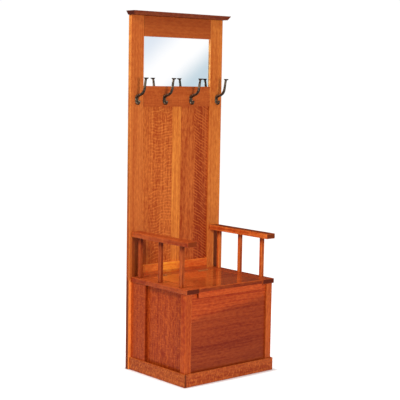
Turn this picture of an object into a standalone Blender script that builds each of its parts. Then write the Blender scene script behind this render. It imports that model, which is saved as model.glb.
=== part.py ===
"""Hall tree: a tall framed oak back with a mirror and four coat hooks, over a lift-lid seat chest.

Frame: X runs across the width, Y runs from front (negative) to back, Z is up. Y = 0 is the front
face of the back frame while the model is drawn; the last step slides everything so that the origin
is under the middle of the whole piece, on the floor. All sizes are in metres.
"""
import math

import bmesh
import bpy
from mathutils import Matrix, Vector

INCH = 0.0254
GAP = 0.0003                            # air left between pieces that touch
HALF_GAP = GAP / 2

# The back frame, from the floor to the cornice
TOTAL_HEIGHT = 72.0 * INCH
BACK_WIDTH = 24.0 * INCH
BACK_THICKNESS = 0.875 * INCH
STILE_WIDTH = 3.25 * INCH
CORNICE_THICKNESS = 0.8125 * INCH
CORNICE_FRONT_OVERHANG = 1.875 * INCH
CORNICE_SIDE_OVERHANG = 0.6875 * INCH
CORNICE_SLOPE = 0.5 * INCH              # how far the underside is set in from the top
TOP_RAIL_WIDTH = 4.0625 * INCH
MIRROR_HEIGHT = 9.8125 * INCH
HOOK_RAIL_WIDTH = 4.125 * INCH
SEAT_RAIL_TOP = 21.1 * INCH
SEAT_RAIL_BOTTOM = 15.5 * INCH
FLOOR_RAIL_TOP = 4.5 * INCH
FLOOR_RAIL_BOTTOM = 1.0 * INCH

# What fills the back frame
RABBET = 0.25 * INCH                    # how far glass and panels run behind the frame
PANEL_RECESS = 0.4375 * INCH
PANEL_THICKNESS = 0.375 * INCH
MIRROR_RECESS = 0.375 * INCH
GLASS_THICKNESS = 0.004
MIRROR_BACKING = 0.006
PALE_STRIP_LEFT = -0.9 * INCH
PALE_STRIP_RIGHT = 1.4 * INCH

# The chest
SKIRT_HALF_WIDTH = 11.6875 * INCH
SKIRT_FRONT = 17.6875 * INCH
SKIRT_THICKNESS = 0.34375 * INCH
SKIRT_HEIGHT = 2.5625 * INCH
POST = 1.5 * INCH
REAR_STILE_WIDTH = 4.625 * INCH
REAR_STILE_THICKNESS = 1.0 * INCH
SIDE_PANEL_RECESS = 0.625 * INCH
FRONT_PANEL_RECESS = 0.375 * INCH
CHEST_PANEL = 0.375 * INCH
PANEL_TONGUE = 0.25 * INCH
CHEST_PANEL_BOTTOM = 0.5 * INCH
CLEAT = 0.75 * INCH
FLOOR_TOP = 3.25 * INCH
FLOOR_THICKNESS = 0.5 * INCH
INNER_RAIL_WIDTH = 2.0 * INCH

# The seat
SEAT_HEIGHT = 19.0 * INCH
SEAT_THICKNESS = 1.0 * INCH
SEAT_HALF_WIDTH = 11.5 * INCH
SEAT_FRONT = 17.75 * INCH
LID_HALF_WIDTH = 8.375 * INCH
HINGE_RAIL_DEPTH = 2.5 * INCH
LID_SIDE_CLEARANCE = 0.0012
LID_BACK_CLEARANCE = 0.0015
LIP_FRONT = 17.5 * INCH
LIP_THICKNESS = 0.5 * INCH
LIP_HEIGHT = 0.9375 * INCH              # how far it hangs below the lid
LIP_REBATE = 0.25 * INCH                # how far it is let up into the lid

# The arms and their spindles
ARM_UNDERSIDE = 27.1 * INCH
ARM_THICKNESS = 1.0625 * INCH
ARM_WIDTH = 2.25 * INCH
ARM_OUTER = 11.45 * INCH
SPINDLE = 0.75 * INCH
SPINDLE_CENTRE = 10.5 * INCH            # from the middle of the seat
SPINDLE_SETBACKS = (1.875 * INCH, 8.375 * INCH, 14.95 * INCH)

# Joinery
EASED_EDGE = 0.0014
SOFT_EDGE = 0.0032
RAIL_SHOULDER = 0.3 * INCH
RAIL_TENON = 1.0 * INCH
ARM_TENON = 0.5 * INCH
SPINDLE_SHOULDER = 0.1875 * INCH
SPINDLE_TENON = 0.5 * INCH

# The coat hooks: points are (distance out from the wood, height above the hook's centre) in inches
HOOK_HEIGHT = 54.65 * INCH
HOOK_SPACING = 7.0 * INCH
HOOK_PLATE_WIDTH = 0.8125 * INCH
HOOK_PLATE_HEIGHT = 1.75 * INCH
HOOK_PLATE_THICKNESS = 0.0032
HOOK_PLATE_CORNER = 0.46                # each rounded corner's share of the plate's width
HOOK_PLATE_CORNER_STEPS = 4
HOOK_CAP_RADIUS = 0.5 * INCH
HOOK_CAP_UNDERSIDE = 0.74               # the cap's lower radius, as a share of its upper one
HOOK_CAP_THICKNESS = 0.0052
HOOK_CAP_SIDES = 20
HOOK_KNOB_RADIUS = 0.0056
HOOK_KNOB_SEGMENTS = 12
HOOK_KNOB_RINGS = 8
HOOK_ARM_WIDENING = 1.25                # the arms are broader across than they are thick
UPPER_ARM = (
    (0.05, 0.47), (0.5, 0.74), (1.25, 0.97), (2.05, 1.33), (2.5, 2.05), (2.75, 3.2), (3.06, 4.2)
)
UPPER_ARM_RADII = (0.0062, 0.0064, 0.0062, 0.0057, 0.0050, 0.0046, 0.0047)
LOWER_ARM = ((0.05, -0.64), (0.2, -0.92), (0.52, -1.02), (0.86, -0.88), (0.94, -0.42))
LOWER_ARM_RADII = (0.0055, 0.0053, 0.0050, 0.0047, 0.0044)
HOOK_SCREW_HEIGHTS = (0.07 * INCH, -0.255 * INCH)
HOOK_WALL_CUT = 0.05                    # everything behind the plate's back is cut away
SCREW_HEAD_RADIUS = 0.0036
SCREW_HEAD_HEIGHT = 0.0018
SCREW_HEAD_PROFILE = ((0.0, 1.0), (0.6, 0.8), (0.93, 0.4), (1.0, 0.0))  # shares of radius, height
SCREW_SHANK_RADIUS = 0.0017
SCREW_LENGTH = 0.0160
SCREW_TIP = 0.0030
SCREW_STEPS = 14
SCREW_CLEARANCE = 0.0003
BORE_SIDES = 12
POCKET_SIDES = 16

# The two butt hinges of the lid
HINGE_OFFSET = 5.5 * INCH               # each hinge's middle, from the middle of the seat
HINGE_LENGTH = 0.0640
LEAF_THICKNESS = 0.0015
LEAF_DROP = 0.0190
KNUCKLE_RADIUS = 0.0026
PIN_RADIUS = 0.0012
PIN_RISE = 0.0010                       # pin centre above the seat's top
PIN_SIDES = 12
KNUCKLE_SIDES = 16
KNUCKLE_SHARE = 0.34                    # the middle knuckle's share of the hinge length

# Places worked out from the sizes above
HALF_BACK = BACK_WIDTH / 2
INNER_BACK = HALF_BACK - STILE_WIDTH
CORNICE_BOTTOM = TOTAL_HEIGHT - CORNICE_THICKNESS
TOP_RAIL_BOTTOM = CORNICE_BOTTOM - TOP_RAIL_WIDTH
HOOK_RAIL_TOP = TOP_RAIL_BOTTOM - MIRROR_HEIGHT
HOOK_RAIL_BOTTOM = HOOK_RAIL_TOP - HOOK_RAIL_WIDTH
CHEST_HALF_WIDTH = SKIRT_HALF_WIDTH - SKIRT_THICKNESS
CHEST_FRONT = SKIRT_FRONT - SKIRT_THICKNESS
POST_INNER = CHEST_HALF_WIDTH - POST
POST_BACK = CHEST_FRONT - POST
SEAT_UNDERSIDE = SEAT_HEIGHT - SEAT_THICKNESS
CHEST_INNER = CHEST_HALF_WIDTH - REAR_STILE_THICKNESS
HINGE_Y = -HINGE_RAIL_DEPTH - LID_BACK_CLEARANCE / 2
HINGE_Z = SEAT_HEIGHT + PIN_RISE
LEAF_NEAR = GAP / 2
LEAF_FAR = LEAF_NEAR + LEAF_THICKNESS
DEPTH_MIDDLE = (BACK_THICKNESS - SEAT_FRONT) / 2

# Finishes: base colour, roughness, metallic
FINISHES = {
    "oak": ((0.42, 0.125, 0.030), 0.38, 0.0),
    "red_oak": ((0.28, 0.065, 0.018), 0.38, 0.0),
    "pale_oak": ((0.62, 0.215, 0.055), 0.38, 0.0),
    "dark_oak": ((0.14, 0.034, 0.011), 0.40, 0.0),
    "plywood": ((0.45, 0.27, 0.14), 0.60, 0.0),
    "mirror": ((0.85, 0.90, 0.95), 0.03, 1.0),
    "board": ((0.22, 0.13, 0.07), 0.80, 0.0),
    "bronze": ((0.055, 0.040, 0.030), 0.42, 0.9),
    "steel": ((0.30, 0.25, 0.18), 0.35, 0.9),
}

for leftover in list(bpy.data.objects):
    bpy.data.objects.remove(leftover, do_unlink=True)

parts = bpy.data.collections.new("hall_tree")
cutters = bpy.data.collections.new("cutters")
bpy.context.scene.collection.children.link(parts)
bpy.context.scene.collection.children.link(cutters)


def add_part(name, mesh, finish, location=(0, 0, 0)):
    """Put a mesh in the model as one named piece with a material of its own."""
    piece = bpy.data.objects.new(name, mesh)
    piece.location = location
    parts.objects.link(piece)
    colour, roughness, metallic = FINISHES[finish]
    material = bpy.data.materials.new(name + "_" + finish)
    material.use_nodes = True
    shader = material.node_tree.nodes["Principled BSDF"]
    shader.inputs["Base Color"].default_value = (*colour, 1.0)
    shader.inputs["Roughness"].default_value = roughness
    shader.inputs["Metallic"].default_value = metallic
    piece.data.materials.clear()
    piece.data.materials.append(material)
    return piece


def add_cutter(name, mesh, location=(0, 0, 0)):
    """A tool body for Booleans: drawn as wire and left out of the model."""
    tool = bpy.data.objects.new(name, mesh)
    tool.location = location
    tool.hide_render = True
    tool.display_type = "WIRE"
    cutters.objects.link(tool)
    return tool


def combine(piece, tool, operation):
    """Add one Boolean modifier, with the exact solver."""
    boolean = piece.modifiers.new(operation.lower() + "_" + tool.name, "BOOLEAN")
    boolean.operation = operation
    boolean.solver = "EXACT"
    boolean.object = tool


def baked(piece):
    """The piece's mesh with its modifiers worked in."""
    bpy.context.view_layer.update()
    evaluated = piece.evaluated_get(bpy.context.evaluated_depsgraph_get())
    return bpy.data.meshes.new_from_object(evaluated)


def mesh_from(shape, name):
    mesh = bpy.data.meshes.new(name)
    shape.to_mesh(mesh)
    shape.free()
    return mesh


def middle_and_size(spans):
    middle = Vector([(low + high) / 2 for low, high in spans])
    size = Vector([high - low for low, high in spans])
    return middle, size


def box_shape(size):
    shape = bmesh.new()
    bmesh.ops.create_cube(shape, size=1.0)
    bmesh.ops.scale(shape, vec=size, verts=shape.verts)
    return shape


def ease(shape, width, segments=1):
    """Take the sharpness off every edge."""
    bmesh.ops.bevel(
        shape, geom=shape.edges[:], offset=width, segments=segments, profile=0.5, affect="EDGES"
    )


def add_tenon(shape, direction, shoulder, length, edge):
    """Leave a shoulder round one end face and draw the rest out as a tenon."""
    way = Vector(direction)
    end = max(
        (face for face in shape.faces if face.normal.dot(way) > 0.99),
        key=lambda face: face.calc_area(),
    )
    bmesh.ops.inset_region(shape, faces=[end], thickness=shoulder - edge, use_even_offset=True)
    drawn = bmesh.ops.extrude_discrete_faces(shape, faces=[end])["faces"][0]
    bmesh.ops.translate(shape, vec=way * length, verts=drawn.verts)


def shrink(spans, on_floor=True):
    """Half a gap less on every side, but a foot still reaches the floor."""
    spans = [[low + HALF_GAP, high - HALF_GAP] for low, high in spans]
    if on_floor and abs(spans[2][0] - HALF_GAP) < 1e-9:
        spans[2][0] = 0.0
    return spans


def board(name, x, y, z, finish, edge=EASED_EDGE, segments=1, tenons=()):
    """A sawn board between two corners; tenons are (direction, shoulder, length)."""
    middle, size = middle_and_size(shrink((x, y, z)))
    shape = box_shape(size)
    ease(shape, edge, segments)
    for direction, shoulder, length in tenons:
        add_tenon(shape, direction, shoulder, length, edge)
    return add_part(name, mesh_from(shape, name), finish, middle)


def cut_box(name, x, y, z, *pieces):
    """Cut one box out of each piece."""
    middle, size = middle_and_size((x, y, z))
    tool = add_cutter(name, mesh_from(box_shape(size), name), middle)
    for piece in pieces:
        combine(piece, tool, "DIFFERENCE")


def cut_mortise(name, piece, face, across, upward, depth, axis):
    """A pocket for a tenon: face is where it starts, depth its signed length along the axis."""
    start, stop = sorted((face - math.copysign(GAP, depth), face + depth + math.copysign(GAP, depth)))
    across = (across[0] - GAP, across[1] + GAP)
    upward = (upward[0] - GAP, upward[1] + GAP)
    spans = {
        "X": ((start, stop), across, upward),
        "Y": (across, (start, stop), upward),
        "Z": (across, upward, (start, stop)),
    }[axis]
    cut_box(name, *spans, piece)


def inset(span, amount):
    return (span[0] + amount, span[1] - amount)


# ---------------------------------------------------------------- the back frame

back_y = (0.0, BACK_THICKNESS)
left_stile = board(
    "back_left_stile", (-HALF_BACK, -INNER_BACK), back_y, (0.0, CORNICE_BOTTOM), "oak"
)
right_stile = board(
    "back_right_stile", (INNER_BACK, HALF_BACK), back_y, (0.0, CORNICE_BOTTOM), "oak"
)

RAILS = {
    "back_top_rail": ((TOP_RAIL_BOTTOM, CORNICE_BOTTOM), "red_oak"),
    "hook_rail": ((HOOK_RAIL_BOTTOM, HOOK_RAIL_TOP), "red_oak"),
    "back_seat_rail": ((SEAT_RAIL_BOTTOM, SEAT_RAIL_TOP), "pale_oak"),
    "back_floor_rail": ((FLOOR_RAIL_BOTTOM, FLOOR_RAIL_TOP), "oak"),
}
rails = {}
for rail_name, (rail_z, rail_finish) in RAILS.items():
    rails[rail_name] = board(
        rail_name, (-INNER_BACK, INNER_BACK), back_y, rail_z, rail_finish,
        tenons=(((-1, 0, 0), RAIL_SHOULDER, RAIL_TENON), ((1, 0, 0), RAIL_SHOULDER, RAIL_TENON)),
    )
    tenon_y = inset(back_y, RAIL_SHOULDER)
    tenon_z = inset(rail_z, RAIL_SHOULDER)
    cut_mortise(rail_name + "_left_mortise", left_stile, -INNER_BACK, tenon_y, tenon_z, -RAIL_TENON, "X")
    cut_mortise(rail_name + "_right_mortise", right_stile, INNER_BACK, tenon_y, tenon_z, RAIL_TENON, "X")


def cut_rabbet(name, recess, low_z, high_z, lower_rail, upper_rail):
    """The step behind an opening in the frame, that glass or panels lie in."""
    cut_box(
        name,
        (-INNER_BACK - RABBET, INNER_BACK + RABBET),
        (recess, BACK_THICKNESS * 2),
        (low_z - RABBET, high_z + RABBET),
        left_stile, right_stile, lower_rail, upper_rail,
    )


cut_rabbet(
    "mirror_rabbet", MIRROR_RECESS, HOOK_RAIL_TOP, TOP_RAIL_BOTTOM,
    rails["hook_rail"], rails["back_top_rail"],
)
cut_rabbet(
    "panel_rabbet", PANEL_RECESS, SEAT_RAIL_TOP, HOOK_RAIL_BOTTOM,
    rails["back_seat_rail"], rails["hook_rail"],
)
cut_rabbet(
    "lower_rabbet", PANEL_RECESS, FLOOR_RAIL_TOP, SEAT_RAIL_BOTTOM,
    rails["back_floor_rail"], rails["back_seat_rail"],
)

# ---------------------------------------------------------------- panels and mirror

fill_x = (-INNER_BACK - RABBET, INNER_BACK + RABBET)
panel_y = (PANEL_RECESS, PANEL_RECESS + PANEL_THICKNESS)
panel_z = (SEAT_RAIL_TOP - RABBET, HOOK_RAIL_BOTTOM + RABBET)
PANEL_BOARDS = (
    ("back_panel_left_board", fill_x[0], PALE_STRIP_LEFT, "oak"),
    ("back_panel_pale_board", PALE_STRIP_LEFT, PALE_STRIP_RIGHT, "pale_oak"),
    ("back_panel_right_board", PALE_STRIP_RIGHT, fill_x[1], "oak"),
)
for board_name, board_left, board_right, board_finish in PANEL_BOARDS:
    board(board_name, (board_left, board_right), panel_y, panel_z, board_finish, edge=0.0005)

board(
    "lower_back_panel", fill_x, panel_y,
    (FLOOR_RAIL_TOP - RABBET, SEAT_RAIL_BOTTOM + RABBET), "plywood", edge=0.0005,
)
glass_z = (HOOK_RAIL_TOP - RABBET, TOP_RAIL_BOTTOM + RABBET)
glass_back = MIRROR_RECESS + GLASS_THICKNESS
board("mirror_glass", fill_x, (MIRROR_RECESS, glass_back), glass_z, "mirror", edge=0.0006)
board(
    "mirror_backboard", fill_x, (glass_back, glass_back + MIRROR_BACKING), glass_z, "board",
    edge=0.0006,
)

# ---------------------------------------------------------------- the cornice


def cornice():
    """The top board, its front and ends sloping in towards the underside."""
    spans = shrink((
        (-HALF_BACK - CORNICE_SIDE_OVERHANG, HALF_BACK + CORNICE_SIDE_OVERHANG),
        (-CORNICE_FRONT_OVERHANG, BACK_THICKNESS),
        (CORNICE_BOTTOM, TOTAL_HEIGHT),
    ))
    middle, size = middle_and_size(spans)
    shape = box_shape(size)
    for corner in shape.verts:
        if corner.co.z > 0:
            continue
        corner.co.x -= math.copysign(CORNICE_SLOPE, corner.co.x)
        if corner.co.y < 0:
            corner.co.y += CORNICE_SLOPE
    ease(shape, EASED_EDGE)
    add_part("cornice_board", mesh_from(shape, "cornice_board"), "dark_oak", middle)


cornice()

# ---------------------------------------------------------------- the chest

post_y = (-CHEST_FRONT, -POST_BACK)
chest_z = (0.0, SEAT_UNDERSIDE)
chest_panel_z = (CHEST_PANEL_BOTTOM, SEAT_UNDERSIDE)
panel_outer = CHEST_HALF_WIDTH - SIDE_PANEL_RECESS


def mirrored(low, high, side):
    """A span given for the right-hand side, turned over for the left when side is -1."""
    return tuple(sorted((side * low, side * high)))


posts = []
for side, hand in ((-1, "left"), (1, "right")):
    post = board(
        "front_" + hand + "_post", mirrored(POST_INNER, CHEST_HALF_WIDTH, side), post_y, chest_z,
        "oak",
    )
    rear = board(
        "side_" + hand + "_rear_stile", mirrored(CHEST_INNER, CHEST_HALF_WIDTH, side),
        (-REAR_STILE_WIDTH, 0.0), chest_z, "oak",
    )
    side_x = mirrored(panel_outer - CHEST_PANEL, panel_outer, side)
    side_y = (-POST_BACK - PANEL_TONGUE, -REAR_STILE_WIDTH + PANEL_TONGUE)
    board("side_" + hand + "_panel", side_x, side_y, chest_panel_z, "oak", edge=0.0006)
    cut_box("side_" + hand + "_groove", side_x, side_y, chest_panel_z, post, rear)
    board(
        "floor_" + hand + "_cleat", mirrored(CHEST_INNER - CLEAT, CHEST_INNER, side),
        (-POST_BACK, 0.0), (FLOOR_TOP - FLOOR_THICKNESS - CLEAT, FLOOR_TOP - FLOOR_THICKNESS),
        "plywood",
    )
    posts.append(post)

front_panel_y = (-CHEST_FRONT + FRONT_PANEL_RECESS, -CHEST_FRONT + FRONT_PANEL_RECESS + CHEST_PANEL)
front_panel_x = (-POST_INNER - PANEL_TONGUE, POST_INNER + PANEL_TONGUE)
board("front_panel", front_panel_x, front_panel_y, chest_panel_z, "red_oak", edge=0.0006)
cut_box("front_panel_groove", front_panel_x, front_panel_y, chest_panel_z, *posts)

board(
    "front_inner_rail", (-POST_INNER, POST_INNER), (front_panel_y[1], -POST_BACK),
    (SEAT_UNDERSIDE - INNER_RAIL_WIDTH, SEAT_UNDERSIDE), "oak",
)
board(
    "hinge_rail_cleat", (-CHEST_INNER, CHEST_INNER), (-CLEAT, 0.0),
    (SEAT_UNDERSIDE - CLEAT, SEAT_UNDERSIDE), "oak",
)
chest_floor = board(
    "chest_floor", (-CHEST_INNER, CHEST_INNER), (front_panel_y[1], 0.0),
    (FLOOR_TOP - FLOOR_THICKNESS, FLOOR_TOP), "plywood",
)
for side, hand in ((-1, "left"), (1, "right")):
    notch_x = mirrored(POST_INNER - GAP, CHEST_HALF_WIDTH, side)
    notch_y = (-CHEST_FRONT, -POST_BACK + GAP)
    cut_box("floor_" + hand + "_notch", notch_x, notch_y, (0.0, SEAT_UNDERSIDE), chest_floor)


def skirt_board(name, outline):
    """A base board with mitred ends, drawn from above and stood on the floor."""
    shape = bmesh.new()
    corners = [shape.verts.new((x, y, 0.0)) for x, y in outline]
    bottom = shape.faces.new(corners)
    lifted = bmesh.ops.extrude_face_region(shape, geom=[bottom])["geom"]
    top = [item for item in lifted if isinstance(item, bmesh.types.BMVert)]
    bmesh.ops.translate(shape, vec=(0, 0, SKIRT_HEIGHT), verts=top)
    bmesh.ops.recalc_face_normals(shape, faces=shape.faces)
    ease(shape, EASED_EDGE)
    add_part(name, mesh_from(shape, name), "oak")


outer_x = SKIRT_HALF_WIDTH
inner_x = CHEST_HALF_WIDTH + GAP
outer_y = -SKIRT_FRONT
inner_y = -CHEST_FRONT - GAP
skirt_board("skirt_front", (
    (-outer_x + GAP, outer_y), (outer_x - GAP, outer_y),
    (inner_x - GAP, inner_y), (-inner_x + GAP, inner_y),
))
for side, hand in ((-1, "left"), (1, "right")):
    skirt_board("skirt_" + hand, (
        (side * outer_x, outer_y + GAP), (side * outer_x, -GAP),
        (side * inner_x, -GAP), (side * inner_x, inner_y + GAP),
    ))

# ---------------------------------------------------------------- the seat

seat_z = (SEAT_UNDERSIDE, SEAT_HEIGHT)
seat_rails = {}
for side, hand in ((-1, "left"), (1, "right")):
    seat_rails[hand] = board(
        "seat_" + hand + "_rail", mirrored(LID_HALF_WIDTH, SEAT_HALF_WIDTH, side),
        (-SEAT_FRONT, 0.0), seat_z, "oak", edge=SOFT_EDGE, segments=2,
    )
hinge_rail = board(
    "seat_hinge_rail", (-LID_HALF_WIDTH, LID_HALF_WIDTH), (-HINGE_RAIL_DEPTH, 0.0), seat_z, "oak",
    edge=EASED_EDGE,
)
lid_x = (-LID_HALF_WIDTH + LID_SIDE_CLEARANCE, LID_HALF_WIDTH - LID_SIDE_CLEARANCE)
lid = board(
    "seat_lid", lid_x, (-SEAT_FRONT, -HINGE_RAIL_DEPTH - LID_BACK_CLEARANCE), seat_z, "red_oak",
    edge=EASED_EDGE * 2, segments=2,
)
lip_back = -LIP_FRONT + LIP_THICKNESS
lip_top = SEAT_UNDERSIDE + LIP_REBATE
board("lid_lip", lid_x, (-LIP_FRONT, lip_back), (SEAT_UNDERSIDE - LIP_HEIGHT, lip_top), "red_oak")
cut_box(
    "lip_rebate", (-SEAT_HALF_WIDTH, SEAT_HALF_WIDTH), (-SEAT_FRONT * 2, lip_back + HALF_GAP),
    (0.0, lip_top + HALF_GAP), lid,
)

# ---------------------------------------------------------------- arms and spindles

arm_z = (ARM_UNDERSIDE, ARM_UNDERSIDE + ARM_THICKNESS)
spindle_z = (SEAT_HEIGHT, ARM_UNDERSIDE)
for side, hand, stile in ((-1, "left", left_stile), (1, "right", right_stile)):
    arm_x = mirrored(ARM_OUTER - ARM_WIDTH, ARM_OUTER, side)
    arm = board(
        "arm_" + hand, arm_x, (-SEAT_FRONT, 0.0), arm_z, "oak", edge=SOFT_EDGE, segments=2,
        tenons=(((0, 1, 0), RAIL_SHOULDER, ARM_TENON),),
    )
    cut_mortise(
        "arm_" + hand + "_mortise", stile, 0.0,
        inset(arm_x, RAIL_SHOULDER), inset(arm_z, RAIL_SHOULDER), ARM_TENON, "Y",
    )
    for place, setback in zip(("back", "middle", "front"), SPINDLE_SETBACKS):
        spindle_name = "spindle_" + hand + "_" + place
        centre = side * SPINDLE_CENTRE
        spindle_x = (centre - SPINDLE / 2, centre + SPINDLE / 2)
        spindle_y = (-setback - SPINDLE / 2, -setback + SPINDLE / 2)
        tenon_x = inset(spindle_x, SPINDLE_SHOULDER)
        tenon_y = inset(spindle_y, SPINDLE_SHOULDER)
        board(
            spindle_name, spindle_x, spindle_y, spindle_z, "oak",
            tenons=(
                ((0, 0, 1), SPINDLE_SHOULDER, SPINDLE_TENON),
                ((0, 0, -1), SPINDLE_SHOULDER, SPINDLE_TENON),
            ),
        )
        cut_mortise(
            spindle_name + "_top_mortise", arm, ARM_UNDERSIDE, tenon_x, tenon_y, SPINDLE_TENON, "Z"
        )
        cut_mortise(
            spindle_name + "_foot_mortise", seat_rails[hand], SEAT_HEIGHT, tenon_x, tenon_y,
            -SPINDLE_TENON, "Z",
        )

# ---------------------------------------------------------------- coat hooks


def bent_rod(name, profile, radii):
    """An oval rod bent in the plane across the hook, thinner towards its tip."""
    curve = bpy.data.curves.new(name, "CURVE")
    curve.dimensions = "3D"
    curve.bevel_depth = 1.0
    curve.bevel_resolution = 2
    curve.resolution_u = 3
    curve.use_fill_caps = True
    spline = curve.splines.new("NURBS")
    spline.points.add(len(profile) - 1)
    for point, (out, up), radius in zip(spline.points, profile, radii):
        point.co = (0.0, -out * INCH, up * INCH, 1.0)
        point.radius = radius
    spline.order_u = 4
    spline.use_endpoint_u = True
    rod = bpy.data.objects.new(name, curve)
    cutters.objects.link(rod)
    mesh = baked(rod)
    bpy.data.objects.remove(rod, do_unlink=True)
    shape = bmesh.new()
    shape.from_mesh(mesh)
    bmesh.ops.remove_doubles(shape, verts=shape.verts, dist=0.0001)
    bmesh.ops.scale(shape, vec=(HOOK_ARM_WIDENING, 1.0, 1.0), verts=shape.verts)
    bmesh.ops.recalc_face_normals(shape, faces=shape.faces)
    return add_cutter(name, mesh_from(shape, name))


def round_body(name, radius_low, radius_high, length, segments, place):
    """A cylinder or cone with its middle at a place."""
    shape = bmesh.new()
    bmesh.ops.create_cone(
        shape, cap_ends=True, segments=segments, radius1=radius_low, radius2=radius_high,
        depth=length, matrix=place,
    )
    return add_cutter(name, mesh_from(shape, name))


def hook_mesh():
    """Plate, upper arm with its round cap, and lower arm with its knob, joined as one casting."""
    shape = box_shape(Vector((HOOK_PLATE_WIDTH, HOOK_PLATE_THICKNESS, HOOK_PLATE_HEIGHT)))
    upright = [edge for edge in shape.edges if abs((edge.verts[0].co - edge.verts[1].co).y) > 0.001]
    bmesh.ops.bevel(
        shape, geom=upright, offset=HOOK_PLATE_WIDTH * HOOK_PLATE_CORNER,
        segments=HOOK_PLATE_CORNER_STEPS, profile=0.5, affect="EDGES",
    )
    bmesh.ops.translate(
        shape, vec=(0, -HOOK_PLATE_THICKNESS / 2 - GAP, 0), verts=shape.verts
    )
    casting = add_cutter("hook_casting", mesh_from(shape, "hook_casting"))
    combine(casting, bent_rod("hook_upper_arm", UPPER_ARM, UPPER_ARM_RADII), "UNION")
    combine(casting, bent_rod("hook_lower_arm", LOWER_ARM, LOWER_ARM_RADII), "UNION")

    cap_out, cap_up = UPPER_ARM[-1]
    cap_place = Matrix.Translation((0, -cap_out * INCH, cap_up * INCH))
    combine(casting, round_body(
        "hook_cap", HOOK_CAP_RADIUS * HOOK_CAP_UNDERSIDE, HOOK_CAP_RADIUS, HOOK_CAP_THICKNESS,
        HOOK_CAP_SIDES, cap_place
    ), "UNION")

    knob_out, knob_up = LOWER_ARM[-1]
    knob = bmesh.new()
    bmesh.ops.create_uvsphere(
        knob, u_segments=HOOK_KNOB_SEGMENTS, v_segments=HOOK_KNOB_RINGS, radius=HOOK_KNOB_RADIUS
    )
    bmesh.ops.translate(knob, vec=(0, -knob_out * INCH, knob_up * INCH), verts=knob.verts)
    combine(casting, add_cutter("hook_knob", mesh_from(knob, "hook_knob")), "UNION")

    wall = box_shape(Vector((HOOK_WALL_CUT, HOOK_WALL_CUT, HOOK_WALL_CUT * 2)))
    bmesh.ops.translate(wall, vec=(0, HOOK_WALL_CUT / 2 - GAP, 0), verts=wall.verts)
    combine(casting, add_cutter("hook_back_cut", mesh_from(wall, "hook_back_cut")), "DIFFERENCE")
    for number, height in enumerate(HOOK_SCREW_HEIGHTS):
        bore = Matrix.Translation((0, 0, height)) @ Matrix.Rotation(math.pi / 2, 4, "X")
        radius = SCREW_SHANK_RADIUS + SCREW_CLEARANCE
        combine(casting, round_body(
            "hook_plate_hole_" + str(number), radius, radius, HOOK_PLATE_THICKNESS * 4,
            BORE_SIDES, bore
        ), "DIFFERENCE")
        seat_face = -HOOK_PLATE_THICKNESS - GAP - HALF_GAP
        clear_length = SCREW_HEAD_HEIGHT * 3
        pocket = Matrix.Translation((0, seat_face - clear_length / 2, height))
        pocket = pocket @ Matrix.Rotation(math.pi / 2, 4, "X")
        pocket_radius = SCREW_HEAD_RADIUS + SCREW_CLEARANCE
        combine(casting, round_body(
            "hook_screw_pocket_" + str(number), pocket_radius, pocket_radius, clear_length,
            POCKET_SIDES, pocket,
        ), "DIFFERENCE")
    mesh = baked(casting)
    bpy.data.objects.remove(casting, do_unlink=True)
    return mesh


def screw_mesh():
    """A round-headed wood screw, turned about its length; the head's underside is at zero."""
    head = [(out * SCREW_HEAD_RADIUS, up * SCREW_HEAD_HEIGHT) for out, up in SCREW_HEAD_PROFILE]
    outline = head + [
        (SCREW_SHANK_RADIUS, 0.0), (SCREW_SHANK_RADIUS, -SCREW_LENGTH),
        (0.0, -SCREW_LENGTH - SCREW_TIP),
    ]
    profile = bpy.data.meshes.new("screw_profile")
    points = [(radius, 0.0, up) for radius, up in outline]
    profile.from_pydata(points, [(i, i + 1) for i in range(len(points) - 1)], [])
    turned = add_cutter("screw_profile", profile)
    screw = turned.modifiers.new("turn", "SCREW")
    screw.steps = SCREW_STEPS
    screw.render_steps = SCREW_STEPS
    screw.use_merge_vertices = True
    screw.merge_threshold = 0.00001
    mesh = baked(turned)
    bpy.data.objects.remove(turned, do_unlink=True)
    return mesh


hook_shape = hook_mesh()
screw_shape = screw_mesh()
pilot_radius = SCREW_SHANK_RADIUS + SCREW_CLEARANCE
pilot_length = (SCREW_LENGTH + SCREW_TIP + GAP) * 2
HOOKS = (
    ("hook_1", -1.5 * HOOK_SPACING, left_stile),
    ("hook_2", -0.5 * HOOK_SPACING, rails["hook_rail"]),
    ("hook_3", 0.5 * HOOK_SPACING, rails["hook_rail"]),
    ("hook_4", 1.5 * HOOK_SPACING, right_stile),
)
for hook_name, hook_x, wood in HOOKS:
    add_part(hook_name, hook_shape.copy(), "bronze", (hook_x, 0.0, HOOK_HEIGHT))
    for level, height in zip(("upper", "lower"), HOOK_SCREW_HEIGHTS):
        head_y = -HOOK_PLATE_THICKNESS - 2 * GAP
        screw = add_part(
            hook_name + "_" + level + "_screw", screw_shape.copy(), "bronze",
            (hook_x, head_y, HOOK_HEIGHT + height),
        )
        screw.rotation_euler = (math.pi / 2, 0.0, 0.0)
        pilot = Matrix.Translation((hook_x, 0.0, HOOK_HEIGHT + height))
        pilot = pilot @ Matrix.Rotation(math.pi / 2, 4, "X")
        combine(wood, round_body(
            hook_name + "_" + level + "_pilot", pilot_radius, pilot_radius, pilot_length,
            BORE_SIDES, pilot
        ), "DIFFERENCE")

# ---------------------------------------------------------------- hinges

lay_along_x = Matrix.Rotation(math.pi / 2, 4, "Y")
middle_knuckle = HINGE_LENGTH * KNUCKLE_SHARE
end_knuckle = (HINGE_LENGTH - middle_knuckle) / 2
KNUCKLES = {
    "fixed": ((-(middle_knuckle + end_knuckle) / 2, end_knuckle - GAP),
              ((middle_knuckle + end_knuckle) / 2, end_knuckle - GAP)),
    "moving": ((0.0, middle_knuckle - GAP),),
}
RELIEF = KNUCKLE_RADIUS + GAP


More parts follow.
